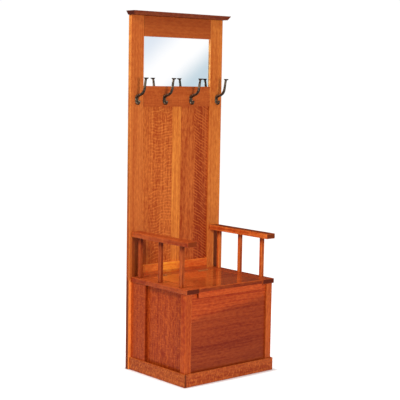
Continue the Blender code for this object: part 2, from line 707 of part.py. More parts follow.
def leaf(name, side, knuckles):
    """One hinge leaf with its knuckles; side is +1 behind the pin and -1 in front of it."""
    leaf_y = tuple(sorted((side * LEAF_NEAR, side * LEAF_FAR)))
    middle, size = middle_and_size((
        (-HINGE_LENGTH / 2, HINGE_LENGTH / 2), leaf_y, (-LEAF_DROP, -RELIEF),
    ))
    body = add_cutter(name, mesh_from(box_shape(size), name), middle)
    for number, (along, length) in enumerate(knuckles):
        neck_middle, neck_size = middle_and_size((
            (along - length / 2, along + length / 2), leaf_y, (-RELIEF * 1.5, 0.0),
        ))
        neck = add_cutter(name + "_neck", mesh_from(box_shape(neck_size), name), neck_middle)
        combine(body, neck, "UNION")
        place = Matrix.Translation((along, 0, 0)) @ lay_along_x
        combine(body, round_body(
            name + "_knuckle_" + str(number), KNUCKLE_RADIUS, KNUCKLE_RADIUS, length,
            KNUCKLE_SIDES, place
        ), "UNION")
    bore = PIN_RADIUS + GAP
    combine(body, round_body(
        name + "_bore", bore, bore, HINGE_LENGTH * 2, BORE_SIDES, lay_along_x
    ), "DIFFERENCE")
    mesh = baked(body)
    mesh.transform(Matrix.Translation(middle))
    bpy.data.objects.remove(body, do_unlink=True)
    return mesh


def pin_mesh():
    shape = bmesh.new()
    bmesh.ops.create_cone(
        shape, cap_ends=True, segments=PIN_SIDES, radius1=PIN_RADIUS, radius2=PIN_RADIUS,
        depth=HINGE_LENGTH, matrix=lay_along_x,
    )
    return mesh_from(shape, "hinge_pin")


for side, hand in ((-1, "left"), (1, "right")):
    centre = side * HINGE_OFFSET
    place = (centre, HINGE_Y, HINGE_Z)
    prefix = "hinge_" + hand
    add_part(prefix + "_fixed_leaf", leaf(prefix + "_fixed", 1, KNUCKLES["fixed"]), "steel", place)
    add_part(prefix + "_moving_leaf", leaf(prefix + "_moving", -1, KNUCKLES["moving"]), "steel", place)
    add_part(prefix + "_pin", pin_mesh(), "steel", place)
    span_x = (centre - HINGE_LENGTH / 2 - GAP, centre + HINGE_LENGTH / 2 + GAP)
    bed = LEAF_FAR + GAP
    cut_box(
        prefix + "_leaf_beds", span_x, (HINGE_Y - bed, HINGE_Y + bed),
        (HINGE_Z - LEAF_DROP - GAP, HINGE_Z + RELIEF), lid, hinge_rail,
    )
    trough = Matrix.Translation((centre, HINGE_Y, HINGE_Z)) @ lay_along_x
    trough_tool = round_body(
        prefix + "_trough", RELIEF, RELIEF, span_x[1] - span_x[0], KNUCKLE_SIDES, trough
    )
    combine(lid, trough_tool, "DIFFERENCE")
    combine(hinge_rail, trough_tool, "DIFFERENCE")

# ---------------------------------------------------------------- origin and shading

for item in list(parts.objects) + list(cutters.objects):
    item.location.y -= DEPTH_MIDDLE
for piece in parts.objects:
    piece.data.shade_smooth()
    piece.data.set_sharp_from_angle(angle=math.radians(30))
bpy.context.view_layer.update()
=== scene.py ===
# %% [markdown]
# # Hall tree: an oak back with a mirror and coat hooks over a lift-lid seat
# The real piece is a framed oak back with a small mirror, four bronze coat hooks and a chest whose
# lid is the seat. Its size and joinery come ready made, as one object for each piece of wood, glass
# and metal. This script gives every one of them its finish, remakes the cast hooks and the screws
# with finer shapes, and sets up the camera, the floor and the lights.

import math

import bmesh
import bpy
from mathutils import Matrix, Vector


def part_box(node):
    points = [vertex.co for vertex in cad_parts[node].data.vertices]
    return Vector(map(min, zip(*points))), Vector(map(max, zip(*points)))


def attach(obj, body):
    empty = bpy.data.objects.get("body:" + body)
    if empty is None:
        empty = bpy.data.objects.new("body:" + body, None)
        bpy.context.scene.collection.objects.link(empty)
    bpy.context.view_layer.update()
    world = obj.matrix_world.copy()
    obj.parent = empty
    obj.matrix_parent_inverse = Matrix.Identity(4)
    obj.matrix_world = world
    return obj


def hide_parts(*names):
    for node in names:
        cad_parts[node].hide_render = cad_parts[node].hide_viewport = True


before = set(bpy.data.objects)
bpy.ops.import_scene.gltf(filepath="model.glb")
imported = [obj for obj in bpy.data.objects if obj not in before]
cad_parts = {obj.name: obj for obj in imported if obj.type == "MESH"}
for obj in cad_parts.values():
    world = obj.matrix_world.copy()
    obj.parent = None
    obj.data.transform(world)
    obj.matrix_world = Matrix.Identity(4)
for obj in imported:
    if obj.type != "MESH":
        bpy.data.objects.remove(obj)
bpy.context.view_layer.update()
bpy.ops.object.select_all(action="DESELECT")

# %% [markdown]
# ## Where we stand
# A camera far away with a long lens keeps upright boards upright, which is how furniture is usually
# shown. A camera could be aimed at a point with a constraint, but three plain rotations multiplied
# together are easier to follow: it looks straight back at first, and is then turned to the right,
# dipped and rolled, in that order.

# %% Camera
CAMERA_PLACE = (-3.670, -4.280, 1.4855)
CAMERA_HEADING = math.radians(40.475)
CAMERA_DIP = math.radians(6.115)
CAMERA_ROLL = math.radians(0.979)
CAMERA_LENS = 100.0

camera_data = bpy.data.cameras.new("hall_camera")
camera_data.lens = CAMERA_LENS
camera_data.sensor_width = 36.0
camera = bpy.data.objects.new("hall_camera", camera_data)
camera.matrix_world = (
    Matrix.Translation(CAMERA_PLACE)
    @ Matrix.Rotation(-CAMERA_HEADING, 4, "Z")
    @ Matrix.Rotation(math.pi / 2 - CAMERA_DIP, 4, "X")
    @ Matrix.Rotation(CAMERA_ROLL, 4, "Z")
)
bpy.context.scene.collection.objects.link(camera)
bpy.context.scene.camera = camera
bpy.context.scene.view_settings.view_transform = "Standard"
print("camera distance:", round(camera.location.length, 2), "m")

# %% [markdown]
# ## Helpers for building materials
# A material is a small network of nodes. It could be drawn by hand in the shader editor, but not for
# forty boards. One helper adds a node and fills its inputs with numbers or with links; the others are
# steps that come back often: arithmetic, a smooth step, a mix of two colours, soft noise.

# %% Node helpers


def put(tree, kind, inputs=None, **settings):
    """Add one node, set its options, and fill its inputs with values or links."""
    node = tree.nodes.new(kind)
    for name, value in settings.items():
        setattr(node, name, value)
    for name, value in (inputs or {}).items():
        if isinstance(value, bpy.types.NodeSocket):
            tree.links.new(value, node.inputs[name])
        else:
            node.inputs[name].default_value = value
    return node


def work_out(tree, operation, *values):
    """One step of arithmetic; gives back its result."""
    return put(tree, "ShaderNodeMath", dict(enumerate(values)), operation=operation).outputs[0]


def ease_between(tree, value, low, high, at_low=0.0, at_high=1.0):
    """A smooth step from one value to another, flat on both sides."""
    levels = {"Value": value, "From Min": low, "From Max": high, "To Min": at_low, "To Max": at_high}
    return put(tree, "ShaderNodeMapRange", levels, interpolation_type="SMOOTHSTEP").outputs[0]


def mix_colours(tree, share, first, second, blend="MIX"):
    """Lay the second colour over the first by a share from 0 to 1."""
    colours = {0: share, 6: first, 7: second}
    return put(tree, "ShaderNodeMix", colours, data_type="RGBA", blend_type=blend).outputs[2]


def stretch(tree, vector, factors):
    """Multiply a place by three factors, to draw a pattern out along one axis."""
    return put(tree, "ShaderNodeVectorMath", {0: vector, 1: factors}, operation="MULTIPLY").outputs[0]


def noise(tree, vector, detail=2.0, roughness=0.5, distortion=0.0):
    """Soft random clouds, from 0 to 1, about one to every unit of length."""
    levels = {"Vector": vector, "Scale": 1.0, "Detail": detail, "Roughness": roughness,
              "Distortion": distortion}
    return put(tree, "ShaderNodeTexNoise", levels).outputs[0]


def new_group(name, inputs, outputs):
    """An empty node group with named sockets."""
    group = bpy.data.node_groups.new(name, "ShaderNodeTree")
    for label, kind, value in inputs:
        socket = group.interface.new_socket(name=label, in_out="INPUT", socket_type=kind)
        socket.default_value = value
    for label, kind in outputs:
        group.interface.new_socket(name=label, in_out="OUTPUT", socket_type=kind)
    return group, group.nodes.new("NodeGroupInput").outputs, group.nodes.new("NodeGroupOutput")


def colour(red, green, blue):
    """A screen colour from 0 to 255 as the linear colour that the shader works in."""
    shares = [part / 255 for part in (red, green, blue)]
    return tuple(
        share / 12.92 if share <= 0.04045 else ((share + 0.055) / 1.055) ** 2.4 for share in shares
    ) + (1.0,)


def new_material(title):
    """A fresh material, with its tree and its shader."""
    material = bpy.data.materials.new(title)
    material.use_nodes = True
    return material, material.node_tree, material.node_tree.nodes["Principled BSDF"]


def dress(tree, shader, shade, source, relief, distance):
    """Lead a colour, a group's roughness and its fine relief into a shader."""
    levels = {"Height": source.outputs["Height"], "Strength": relief, "Distance": distance}
    tree.links.new(shade, shader.inputs["Base Color"])
    tree.links.new(source.outputs["Roughness"], shader.inputs["Roughness"])
    tree.links.new(put(tree, "ShaderNodeBump", levels).outputs[0], shader.inputs["Normal"])


def lay_on(names, material):
    """Give several pieces the same material."""
    for name in names:
        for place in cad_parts[name].material_slots:
            place.material = material


print("helpers ready")

# %% [markdown]
# ## The oak
# Oak cut on the quarter shows three things on its wide faces: fine streaks along the board, which
# are the year rings seen edge on; short pores, which are darker dashes; and the silky flecks and
# ripples across the board where the saw ran along the rays. Pictures of wood could be wrapped over
# the boards, but noise never repeats and can be turned and slid freely, so all three are noise
# stretched along or across the grain. One group makes them for every board, and each board turns the
# pattern to its own grain and slides it to its own place, so that no two look alike. On the sawn ends
# the fibres are cut across, so the stain goes in deeper and the figure turns to dots.

# %% The oak group
VECTOR, NUMBER, COLOUR = "NodeSocketVector", "NodeSocketFloat", "NodeSocketColor"
RIPPLE_SPACING = 0.0160
GRAIN_WANDER = 0.018
END_GRAIN_STAIN = (0.42, 0.44, 0.14, 1.0)


def make_oak_group():
    tree, given, result = new_group(
        "quartersawn_oak",
        [
            ("Turn", VECTOR, (0, 0, 0)), ("Slide", VECTOR, (0, 0, 0)), ("Grain", VECTOR, (0, 0, 1)),
            ("Light", COLOUR, (1, 1, 1, 1)), ("Dark", COLOUR, (0, 0, 0, 1)),
            ("Streaks", NUMBER, 1.0), ("Mottle", NUMBER, 0.5), ("Clouds", NUMBER, 1.0),
            ("Flecks", NUMBER, 0.0), ("Ripples", NUMBER, 0.0), ("Bend", NUMBER, 9.0),
            ("Slope", NUMBER, 0.0), ("Figured", NUMBER, 1.0),
        ],
        [("Colour", COLOUR), ("Roughness", NUMBER), ("Height", NUMBER), ("End Grain", NUMBER)],
    )
    surface = put(tree, "ShaderNodeTexCoord")
    along_board = put(tree, "ShaderNodeMapping", {
        "Vector": surface.outputs["Object"], "Rotation": given["Turn"], "Location": given["Slide"],
    }).outputs[0]

    # The grain wanders a few millimetres from side to side.
    wander = noise(tree, stretch(tree, along_board, (5, 5, 2.2)), detail=1)
    wander = work_out(tree, "MULTIPLY", work_out(tree, "SUBTRACT", wander, 0.5), GRAIN_WANDER)
    sideways = put(tree, "ShaderNodeCombineXYZ", {"X": wander}).outputs[0]
    place = put(tree, "ShaderNodeVectorMath", {0: along_board, 1: sideways}, operation="ADD").outputs[0]

    rings = noise(tree, stretch(tree, place, (95, 30, 1.5)), detail=3, roughness=0.62)
    fine = noise(tree, stretch(tree, place, (520, 200, 9)), detail=2)
    clouds = noise(tree, stretch(tree, place, (11, 5, 1.6)), detail=2)
    mottle = noise(tree, stretch(tree, place, (120, 45, 42)), detail=2, roughness=0.6)
    pores = noise(tree, stretch(tree, place, (1500, 700, 60)), detail=1)
    pores = ease_between(tree, pores, 0.62, 0.74)

    # Flecks and ripples lean along the board as they cross it.
    parts = put(tree, "ShaderNodeSeparateXYZ", {0: place}).outputs
    leaning = work_out(tree, "MULTIPLY_ADD", parts[0], given["Slope"], parts[2])
    across = put(tree, "ShaderNodeCombineXYZ", {"X": parts[0], "Y": parts[1], "Z": leaning}).outputs[0]
    bend = noise(tree, stretch(tree, place, (13, 5, 4.5)), detail=1)
    bend = work_out(tree, "MULTIPLY", work_out(tree, "SUBTRACT", bend, 0.5), given["Bend"])
    phase = work_out(tree, "MULTIPLY_ADD", leaning, 2 * math.pi / RIPPLE_SPACING, bend)
    crest = ease_between(tree, work_out(tree, "SINE", phase), 0.35, 1.0)
    broken = noise(tree, stretch(tree, across, (26, 8, 70)), detail=1)
    crest = work_out(tree, "MULTIPLY", crest, ease_between(tree, broken, 0.40, 0.50))
    fleck = noise(tree, stretch(tree, across, (48, 12, 170)), detail=1, distortion=0.5)
    fleck = ease_between(tree, fleck, 0.54, 0.66)

    tone = 0.5
    for pattern, middle, strength, amount in (
        (rings, 0.5, 3.4, "Streaks"), (fine, 0.5, 1.4, "Streaks"), (mottle, 0.5, 3.0, "Mottle"),
        (clouds, 0.5, 1.8, "Clouds"), (crest, 0.15, given["Figured"], "Ripples"),
        (fleck, 0.2, given["Figured"], "Flecks"),
    ):
        change = work_out(tree, "MULTIPLY", work_out(tree, "SUBTRACT", pattern, middle), strength)
        tone = work_out(tree, "MULTIPLY_ADD", change, given[amount], tone)
    tone = work_out(tree, "MULTIPLY_ADD", pores, -0.22, tone)
    tone = put(tree, "ShaderNodeClamp", {"Value": tone}).outputs[0]
    face_colour = mix_colours(tree, tone, given["Dark"], given["Light"])

    facing = put(tree, "ShaderNodeVectorMath", {0: surface.outputs["Normal"], 1: given["Grain"]},
                 operation="DOT_PRODUCT").outputs["Value"]
    end_grain = ease_between(tree, work_out(tree, "ABSOLUTE", facing), 0.55, 0.85)
    dots = noise(tree, stretch(tree, place, (900, 900, 900)), detail=1)
    bands = noise(tree, stretch(tree, place, (160, 60, 1)), detail=2)
    end_tone = work_out(tree, "MULTIPLY", work_out(tree, "ADD", dots, bands), 0.22)
    deep = mix_colours(tree, 1.0, given["Dark"], END_GRAIN_STAIN, "MULTIPLY")
    end_colour = mix_colours(tree, end_tone, deep, given["Dark"])

    finish_colour = mix_colours(tree, end_grain, face_colour, end_colour)
    roughness = work_out(tree, "MULTIPLY_ADD", tone, -0.10, 0.42)
    roughness = work_out(tree, "MULTIPLY_ADD", end_grain, 0.15, roughness)
    roughness = work_out(tree, "MULTIPLY_ADD", pores, 0.12, roughness)
    height = work_out(tree, "MULTIPLY_ADD", pores, -0.8, work_out(tree, "MULTIPLY", fine, 0.5))
    tree.links.new(finish_colour, result.inputs["Colour"])
    tree.links.new(roughness, result.inputs["Roughness"])
    tree.links.new(height, result.inputs["Height"])
    tree.links.new(end_grain, result.inputs["End Grain"])
    return tree


OAK_GROUP = make_oak_group()
print("oak group nodes:", len(OAK_GROUP.nodes))

# %% [markdown]
# ## Worn edges, with a painted highlight
# Stain wears thin wherever two faces of a board meet, so an arris shows a lighter line; the same
# line is also a painted highlight, for the light that a rounded arris catches. The line could be
# painted on each mesh, but a board is nearly a box, so it can be worked out. The group measures how
# far a point is from the board's six sides: on a flat face one distance is zero, and the middle one
# of the three is the distance to the nearest arris. A little noise breaks the line up, as handling
# does.

# %% The worn and highlit edge group


def make_edge_group():
    tree, given, result = new_group(
        "worn_and_highlit_edges",
        [("Middle", VECTOR, (0, 0, 0)), ("Half Size", VECTOR, (1, 1, 1)), ("Width", NUMBER, 0.003)],
        [("Mask", NUMBER)],
    )
    place = put(tree, "ShaderNodeTexCoord").outputs["Object"]
    offset = put(tree, "ShaderNodeVectorMath", {0: place, 1: given["Middle"]}, operation="SUBTRACT")
    away = put(tree, "ShaderNodeVectorMath", {0: offset.outputs[0]}, operation="ABSOLUTE").outputs[0]
    inside = put(tree, "ShaderNodeVectorMath", {0: given["Half Size"], 1: away}, operation="SUBTRACT")
    to_sides = put(tree, "ShaderNodeSeparateXYZ", {0: inside.outputs[0]}).outputs
    nearest = work_out(tree, "MINIMUM", work_out(tree, "MINIMUM", to_sides[0], to_sides[1]), to_sides[2])
    farthest = work_out(tree, "MAXIMUM", work_out(tree, "MAXIMUM", to_sides[0], to_sides[1]), to_sides[2])
    total = work_out(tree, "ADD", work_out(tree, "ADD", to_sides[0], to_sides[1]), to_sides[2])
    to_arris = work_out(tree, "SUBTRACT", work_out(tree, "SUBTRACT", total, nearest), farthest)
    uneven = noise(tree, stretch(tree, place, (35, 35, 35)), detail=2)
    reach = work_out(tree, "MULTIPLY", given["Width"], work_out(tree, "ADD", uneven, 0.5))
    mask = ease_between(tree, to_arris, 0.0, reach, 1.0, 0.0)
    tree.links.new(mask, result.inputs["Mask"])
    return tree


EDGE_GROUP = make_edge_group()
print("edge group nodes:", len(EDGE_GROUP.nodes))

# %% [markdown]
# ## Shading across a board
# Boards are seldom even in colour. Heartwood darkens towards one side, and the stainer's rag leaves
# a fuller coat in one place than in another. The same masks also place painted light and shade:
# painted shadows under the arms, and faces painted lighter or darker for how the light falls. A ramp
# along one axis would do for some boards; this group gives a mask that rises along any direction,
# with a wavering front, and several masks can be multiplied to pick out one corner.

# %% The drift group


def make_drift_group():
    tree, given, result = new_group(
        "colour_drift",
        [("Direction", VECTOR, (0, 0, 1)), ("Start", NUMBER, 0.0), ("End", NUMBER, 1.0),
         ("Waver", NUMBER, 0.02)],
        [("Mask", NUMBER)],
    )
    place = put(tree, "ShaderNodeTexCoord").outputs["Object"]
    along = put(tree, "ShaderNodeVectorMath", {0: place, 1: given["Direction"]}, operation="DOT_PRODUCT")
    wave = noise(tree, stretch(tree, place, (9, 9, 9)), detail=3)
    shift = work_out(tree, "MULTIPLY", work_out(tree, "SUBTRACT", wave, 0.5), given["Waver"])
    mask = ease_between(
        tree, work_out(tree, "ADD", along.outputs["Value"], shift), given["Start"], given["End"]
    )
    tree.links.new(mask, result.inputs["Mask"])
    return tree


DRIFT_GROUP = make_drift_group()
print("drift group nodes:", len(DRIFT_GROUP.nodes))

# %% [markdown]
# ## Faces that look up, and speckles
# Two smaller groups. The first tells how far a surface faces upwards, for lacquer that was laid on
# thicker there and for metal that is darker underneath, partly patina and partly painted shade. The
# second is a fine cloudy speckle for metal, hardboard and glue, with the colours and the roughness
# that go with it. Each is a group because several materials share it.

# %% The upward and speckle groups


def make_upward_group():
    tree, given, result = new_group(
        "facing_up", [("Start", NUMBER, 0.0), ("End", NUMBER, 1.0)], [("Mask", NUMBER)]
    )
    facing = put(tree, "ShaderNodeTexCoord").outputs["Normal"]
    upward = put(tree, "ShaderNodeSeparateXYZ", {0: facing}).outputs[2]
    tree.links.new(ease_between(tree, upward, given["Start"], given["End"]), result.inputs["Mask"])
    return tree


def make_speckle_group():
    tree, given, result = new_group(
        "fine_speckle",
        [("Size", VECTOR, (100, 100, 100)), ("First", COLOUR, (0, 0, 0, 1)),
         ("Second", COLOUR, (1, 1, 1, 1)), ("Dull", NUMBER, 0.8), ("Rubbed", NUMBER, 0.5)],
        [("Colour", COLOUR), ("Roughness", NUMBER), ("Height", NUMBER)],
    )
    place = put(tree, "ShaderNodeTexCoord").outputs["Object"]
    specks = noise(tree, stretch(tree, place, given["Size"]), detail=3)
    share = ease_between(tree, specks, 0.38, 0.64)
    tree.links.new(mix_colours(tree, share, given["First"], given["Second"]), result.inputs["Colour"])
    tree.links.new(
        ease_between(tree, specks, 0.3, 0.7, given["Dull"], given["Rubbed"]), result.inputs["Roughness"]
    )
    tree.links.new(specks, result.inputs["Height"])
    return tree


UPWARD_GROUP = make_upward_group()
SPECKLE_GROUP = make_speckle_group()
print("upward and speckle nodes:", len(UPWARD_GROUP.nodes), len(SPECKLE_GROUP.nodes))

# %% [markdown]
# ## Finishing one board
# Every board gets a material of its own: the oak group turned to its grain, the worn edges with
# their painted highlight laid over it, any drift in its colour, painted light and shade among them,
# and a thin satin lacquer as the shader's coat. One material for all the boards would be shorter,
# but the streaks would then run on from board to board. The lacquer's own values stay on the
# shader, because they are the same all over.

# %% The board finisher
QUARTER = math.pi / 2
LAY = {                       # (grain, wide face) -> the turn that stands the grain upright
    ("Z", "Y"): (0, 0, 0), ("Z", "X"): (0, 0, QUARTER),
    ("X", "Y"): (0, -QUARTER, 0), ("X", "Z"): (QUARTER, -QUARTER, 0),
    ("Y", "Z"): (QUARTER, 0, 0), ("Y", "X"): (QUARTER, 0, QUARTER),
}
AXES = {"X": (1, 0, 0), "Y": (0, 1, 0), "Z": (0, 0, 1)}
LIGHT_PART = (1.30, 1.62, 1.75)      # the light streaks, as shares of the board's middle colour
DARK_PART = (0.70, 0.44, 0.36)
LACQUER_COAT = 0.06
LACQUER_ROUGHNESS = 0.16
LACQUER_SHINE = 0.12
EDGE_WIDTH = 0.004
finished = []


def add_drift(tree, direction, start, end, waver=0.02):
    """A mask that rises along a direction, from start to end."""
    levels = {"Direction": direction, "Start": start, "End": end, "Waver": waver}
    return put(tree, "ShaderNodeGroup", levels, node_tree=DRIFT_GROUP).outputs[0]


def finish_board(name, grain, face, middle, log, streaks=0.5, clouds=0.5, flecks=0.0, ripples=0.0,
                 bend=9.0, slope=0.0, edge=0.35, mottle=0.5, drifts=(), figured=None):
    """Give one wooden piece its own oak around a middle colour, with drifts that include painted light and
    shade.
    """
    light = tuple(min(1.0, part * share) for part, share in zip(colour(*middle), LIGHT_PART)) + (1.0,)
    dark = tuple(part * share for part, share in zip(colour(*middle), DARK_PART)) + (1.0,)
    material, tree, shader = new_material(name + "_oak")
    shader.inputs["Specular IOR Level"].default_value = LACQUER_SHINE
    shader.inputs["Coat Weight"].default_value = LACQUER_COAT
    shader.inputs["Coat Roughness"].default_value = LACQUER_ROUGHNESS
    oak = put(tree, "ShaderNodeGroup", node_tree=OAK_GROUP, inputs={
        "Turn": LAY[grain, face], "Slide": (0.37 * log, 0.23 * log, 1.71 * log), "Grain": AXES[grain],
        "Light": light, "Dark": dark, "Streaks": streaks, "Mottle": mottle, "Clouds": clouds,
        "Flecks": flecks, "Ripples": ripples, "Bend": bend, "Slope": slope,
    })
    if figured:
        tree.links.new(add_drift(tree, *figured), oak.inputs["Figured"])
    shade = oak.outputs["Colour"]
    for *masks, over in drifts:
        amount = 1.0
        for mask in masks:
            amount = work_out(tree, "MULTIPLY", add_drift(tree, *mask), amount)
        shade = mix_colours(tree, amount, shade, (*over, 1.0), "MULTIPLY")
    low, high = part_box(name)
    # The worn edges also act as a painted highlight along every arris.
    edge_wear_and_highlight = put(tree, "ShaderNodeGroup", node_tree=EDGE_GROUP, inputs={
        "Middle": (low + high) / 2, "Half Size": (high - low) / 2, "Width": EDGE_WIDTH,
    })
    shade = mix_colours(tree, work_out(tree, "MULTIPLY", edge_wear_and_highlight.outputs[0], edge), shade, light)
    dress(tree, shader, shade, oak, 0.25, 0.0004)
    lay_on([name], material)
    finished.append(name)


def polish(name, coat, coat_roughness):
    """A fuller, glossier lacquer on the upper face of one board."""
    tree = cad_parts[name].material_slots[0].material.node_tree
    upward = put(tree, "ShaderNodeGroup", {"Start": 0.7, "End": 0.95}, node_tree=UPWARD_GROUP)
    shader = tree.nodes["Principled BSDF"]
    tree.links.new(
        work_out(tree, "MULTIPLY_ADD", upward.outputs[0], coat - LACQUER_COAT, LACQUER_COAT),
        shader.inputs["Coat Weight"],
    )
    shader.inputs["Coat Roughness"].default_value = coat_roughness


print("lays:", ", ".join(grain + face for grain, face in LAY))

# %% [markdown]
# ## Plywood, hardboard and hinge steel
# What nobody looks at is made of plainer stuff: pale plywood for the chest's floor, its cleats and
# its lower back, and brown hardboard behind the mirror. The hinges are brushed steel under an old
# brassy plating. Plywood is the oak group with its streaks turned down; the other two use the speckle
# group, which is drawn out along the brush marks for the steel.

# %% Plainer materials
PLYWOOD = (214, 172, 122)


def finish_plain(name, grain, face, sheet):
    """Sealed plywood: the same streaks, paler and with no lacquer shine."""
    finish_board(name, grain, face, PLYWOOD, sheet, streaks=0.12, mottle=0.12, clouds=0.15, edge=0.0)
    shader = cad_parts[name].material_slots[0].material.node_tree.nodes["Principled BSDF"]
    shader.inputs["Coat Weight"].default_value = 0.0


def speckled(title, first, second, size, rough, metallic, underside=(1, 1, 1)):
    """A material of two mottled colours; size gives the specks per metre along x, y and z."""
    material, tree, shader = new_material(title)
    shader.inputs["Metallic"].default_value = metallic
    specks = put(tree, "ShaderNodeGroup", node_tree=SPECKLE_GROUP, inputs={
        "Size": size, "First": first, "Second": second, "Dull": rough[0], "Rubbed": rough[1],
    })
    upward = put(tree, "ShaderNodeGroup", {"Start": -0.45, "End": 0.0}, node_tree=UPWARD_GROUP)
    beneath = mix_colours(tree, 1.0, specks.outputs["Colour"], (*underside, 1.0), "MULTIPLY")
    shade = mix_colours(tree, upward.outputs[0], beneath, specks.outputs["Colour"])
    dress(tree, shader, shade, specks, 0.3, 0.0003)
    return material


hinge_parts = ["hinge_" + hand + "_" + part for hand in ("left", "right")
               for part in ("fixed_leaf", "moving_leaf", "pin")]
hardboard = speckled("hardboard", colour(112, 78, 52), colour(138, 100, 70), (700, 700, 700),
                     (0.75, 0.9), 0.0)
plated_steel = speckled("plated_steel", colour(176, 110, 58), colour(206, 140, 82), (60, 900, 900),
                        (0.4, 0.55), 0.35)
lay_on(["mirror_backboard"], hardboard)
lay_on(hinge_parts, plated_steel)
print("plain pieces: plywood, hardboard and", len(hinge_parts), "hinge parts")

# %% [markdown]
# ## One face at a time
# Some shades belong to a single face of a board, such as the outer side of a stile or the sawn end of
# an arm; most of them are painted light and shade, a face painted lighter or darker for how the light
# falls on it. A second material could be laid on those faces, but a mask that rises in the last
# fraction of a millimetre below the face does the same, and takes its place from the board's own
# box. Four more helpers write the masks for what lies to one side of a place.

# %% Masks for one face
FACE_DEPTH = 0.0008


def on_face(name, side):
    """The mask of one outer face of a board: its left, its front or its top."""
    low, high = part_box(name)
    direction, reach = {
        "left": ((-1, 0, 0), -low.x), "front": ((0, -1, 0), -low.y), "top": ((0, 0, 1), high.z),
    }[side]
    return direction, reach - FACE_DEPTH, reach - FACE_DEPTH / 4, 0.0


def right_of(x, reach, waver=0.0):
    """All that lies to the right of a place."""
    return (1, 0, 0), x, x + reach, waver


def left_of(x, reach, waver=0.0):
    """All that lies to the left of a place."""
    return (-1, 0, 0), -x, reach - x, waver


def above(z, reach, waver=0.0):
    """All that lies above a height."""
    return (0, 0, 1), z, z + reach, waver


def below(z, reach, waver=0.0):
    """All that lies below a height."""
    return (0, 0, -1), -z, reach - z, waver


SEAT_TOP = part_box("seat_lid")[1].z
ARM_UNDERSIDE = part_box("arm_left")[0].z
UNDER_ARM = below(ARM_UNDERSIDE, 0.006)
OVER_SEAT = above(SEAT_TOP - 0.004, 0.003)
print("seat top:", round(SEAT_TOP, 3), "arm underside:", round(ARM_UNDERSIDE, 3))

# %% [markdown]
# ## The back frame
# Two tall stiles with upright grain hold four rails with level grain. The stiles are the most even
# boards; the rails between them took the stain darker and redder, all but the one behind the seat.
# Tones are written as screen colours from 0 to 255, which are easy to compare with a stain card.
# Some light and shade is painted on: the left stile's outer side is painted lighter, and darker
# towards the floor and beside the chest; its front is painted lighter beside the chest; the arms and
# spindles cast painted shadows on both stiles' fronts; and the right stile's inner edge beside the
# mirror has a painted highlight.

# %% Stiles and rails
LEFT_STILE_SIDE = on_face("back_left_stile", "left")
LEFT_STILE_FRONT = on_face("back_left_stile", "front")
TOWARDS_FLOOR = below(1.65, 1.20, 0.05)
BESIDE_CHEST = below(SEAT_TOP - 0.004, 0.026)
BESIDE_MIRROR = above(1.40, 0.02)
WHOLE_BOARD = above(0.0, 0.1)
# Painted light and shade: the outer side lighter, and darker towards the floor and beside the chest; the
# front lighter beside the chest; a painted shadow of the arm and spindle on the front below the arm.
finish_board(
    "back_left_stile", "Z", "Y", (198, 101, 42), 1, streaks=0.28, mottle=0.35, clouds=0.3, edge=0.8,
    drifts=(
        (LEFT_STILE_SIDE, (1.074, 1.489, 1.459)),
        (LEFT_STILE_SIDE, TOWARDS_FLOOR, (0.689, 0.333, 0.289)),
        (LEFT_STILE_FRONT, BESIDE_CHEST, (1.75, 2.1, 2.2)),
        (LEFT_STILE_SIDE, BESIDE_CHEST, (0.511, 0.407, 0.333)),
        (LEFT_STILE_FRONT, UNDER_ARM, OVER_SEAT, right_of(-0.289, 0.008), (0.52, 0.40, 0.34)),
    ),
)
# A painted shadow of the arm and spindle on the front below the arm, and a painted highlight on the inner
# edge beside the mirror.
finish_board(
    "back_right_stile", "Z", "Y", (208, 111, 44), 2, streaks=0.28, mottle=0.35, clouds=0.3, edge=0.6,
    drifts=(
        (on_face("back_right_stile", "front"), UNDER_ARM, OVER_SEAT, right_of(0.264, 0.006),
         (0.40, 0.30, 0.26)),
        (on_face("back_right_stile", "left"), BESIDE_MIRROR, (2.0, 3.6, 6.0)),
    ),
)
finish_board("back_top_rail", "X", "Y", (175, 81, 32), 3, streaks=0.2, mottle=0.25, clouds=0.3)
finish_board("hook_rail", "X", "Y", (177, 80, 31), 4, streaks=0.3, mottle=0.3, clouds=0.45, flecks=0.2)
# Darker and redder towards both ends; darker just above the seat, a painted shade where the rail meets it.
finish_board(
    "back_seat_rail", "X", "Y", (255, 138, 44), 5, streaks=0.3, clouds=0.4,
    drifts=(
        (right_of(-0.03, 0.09, 0.03), (0.76, 0.46, 0.66)),
        (left_of(-0.085, 0.030, 0.02), (0.86, 0.62, 0.95)),
        (WHOLE_BOARD, (1.16, 1.10, 1.10)),
        (below(0.500, 0.006, 0.004), (0.70, 0.60, 0.75)),
    ),
)
finish_board("back_floor_rail", "X", "Y", (180, 85, 38), 6)
finish_board("cornice_board", "X", "Z", (124, 50, 20), 7, streaks=0.5, clouds=0.4, edge=0.15)
print("finished so far:", len(finished))

# %% [markdown]
# ## The panel behind the sitter
# Three boards are glued edge to edge. The left one is rippled towards its middle, the narrow pale
# one is plain, and the right one carries slanting ripples along its outer edge. Where the figure
# starts is one more mask, which goes into the oak group as "Figured".

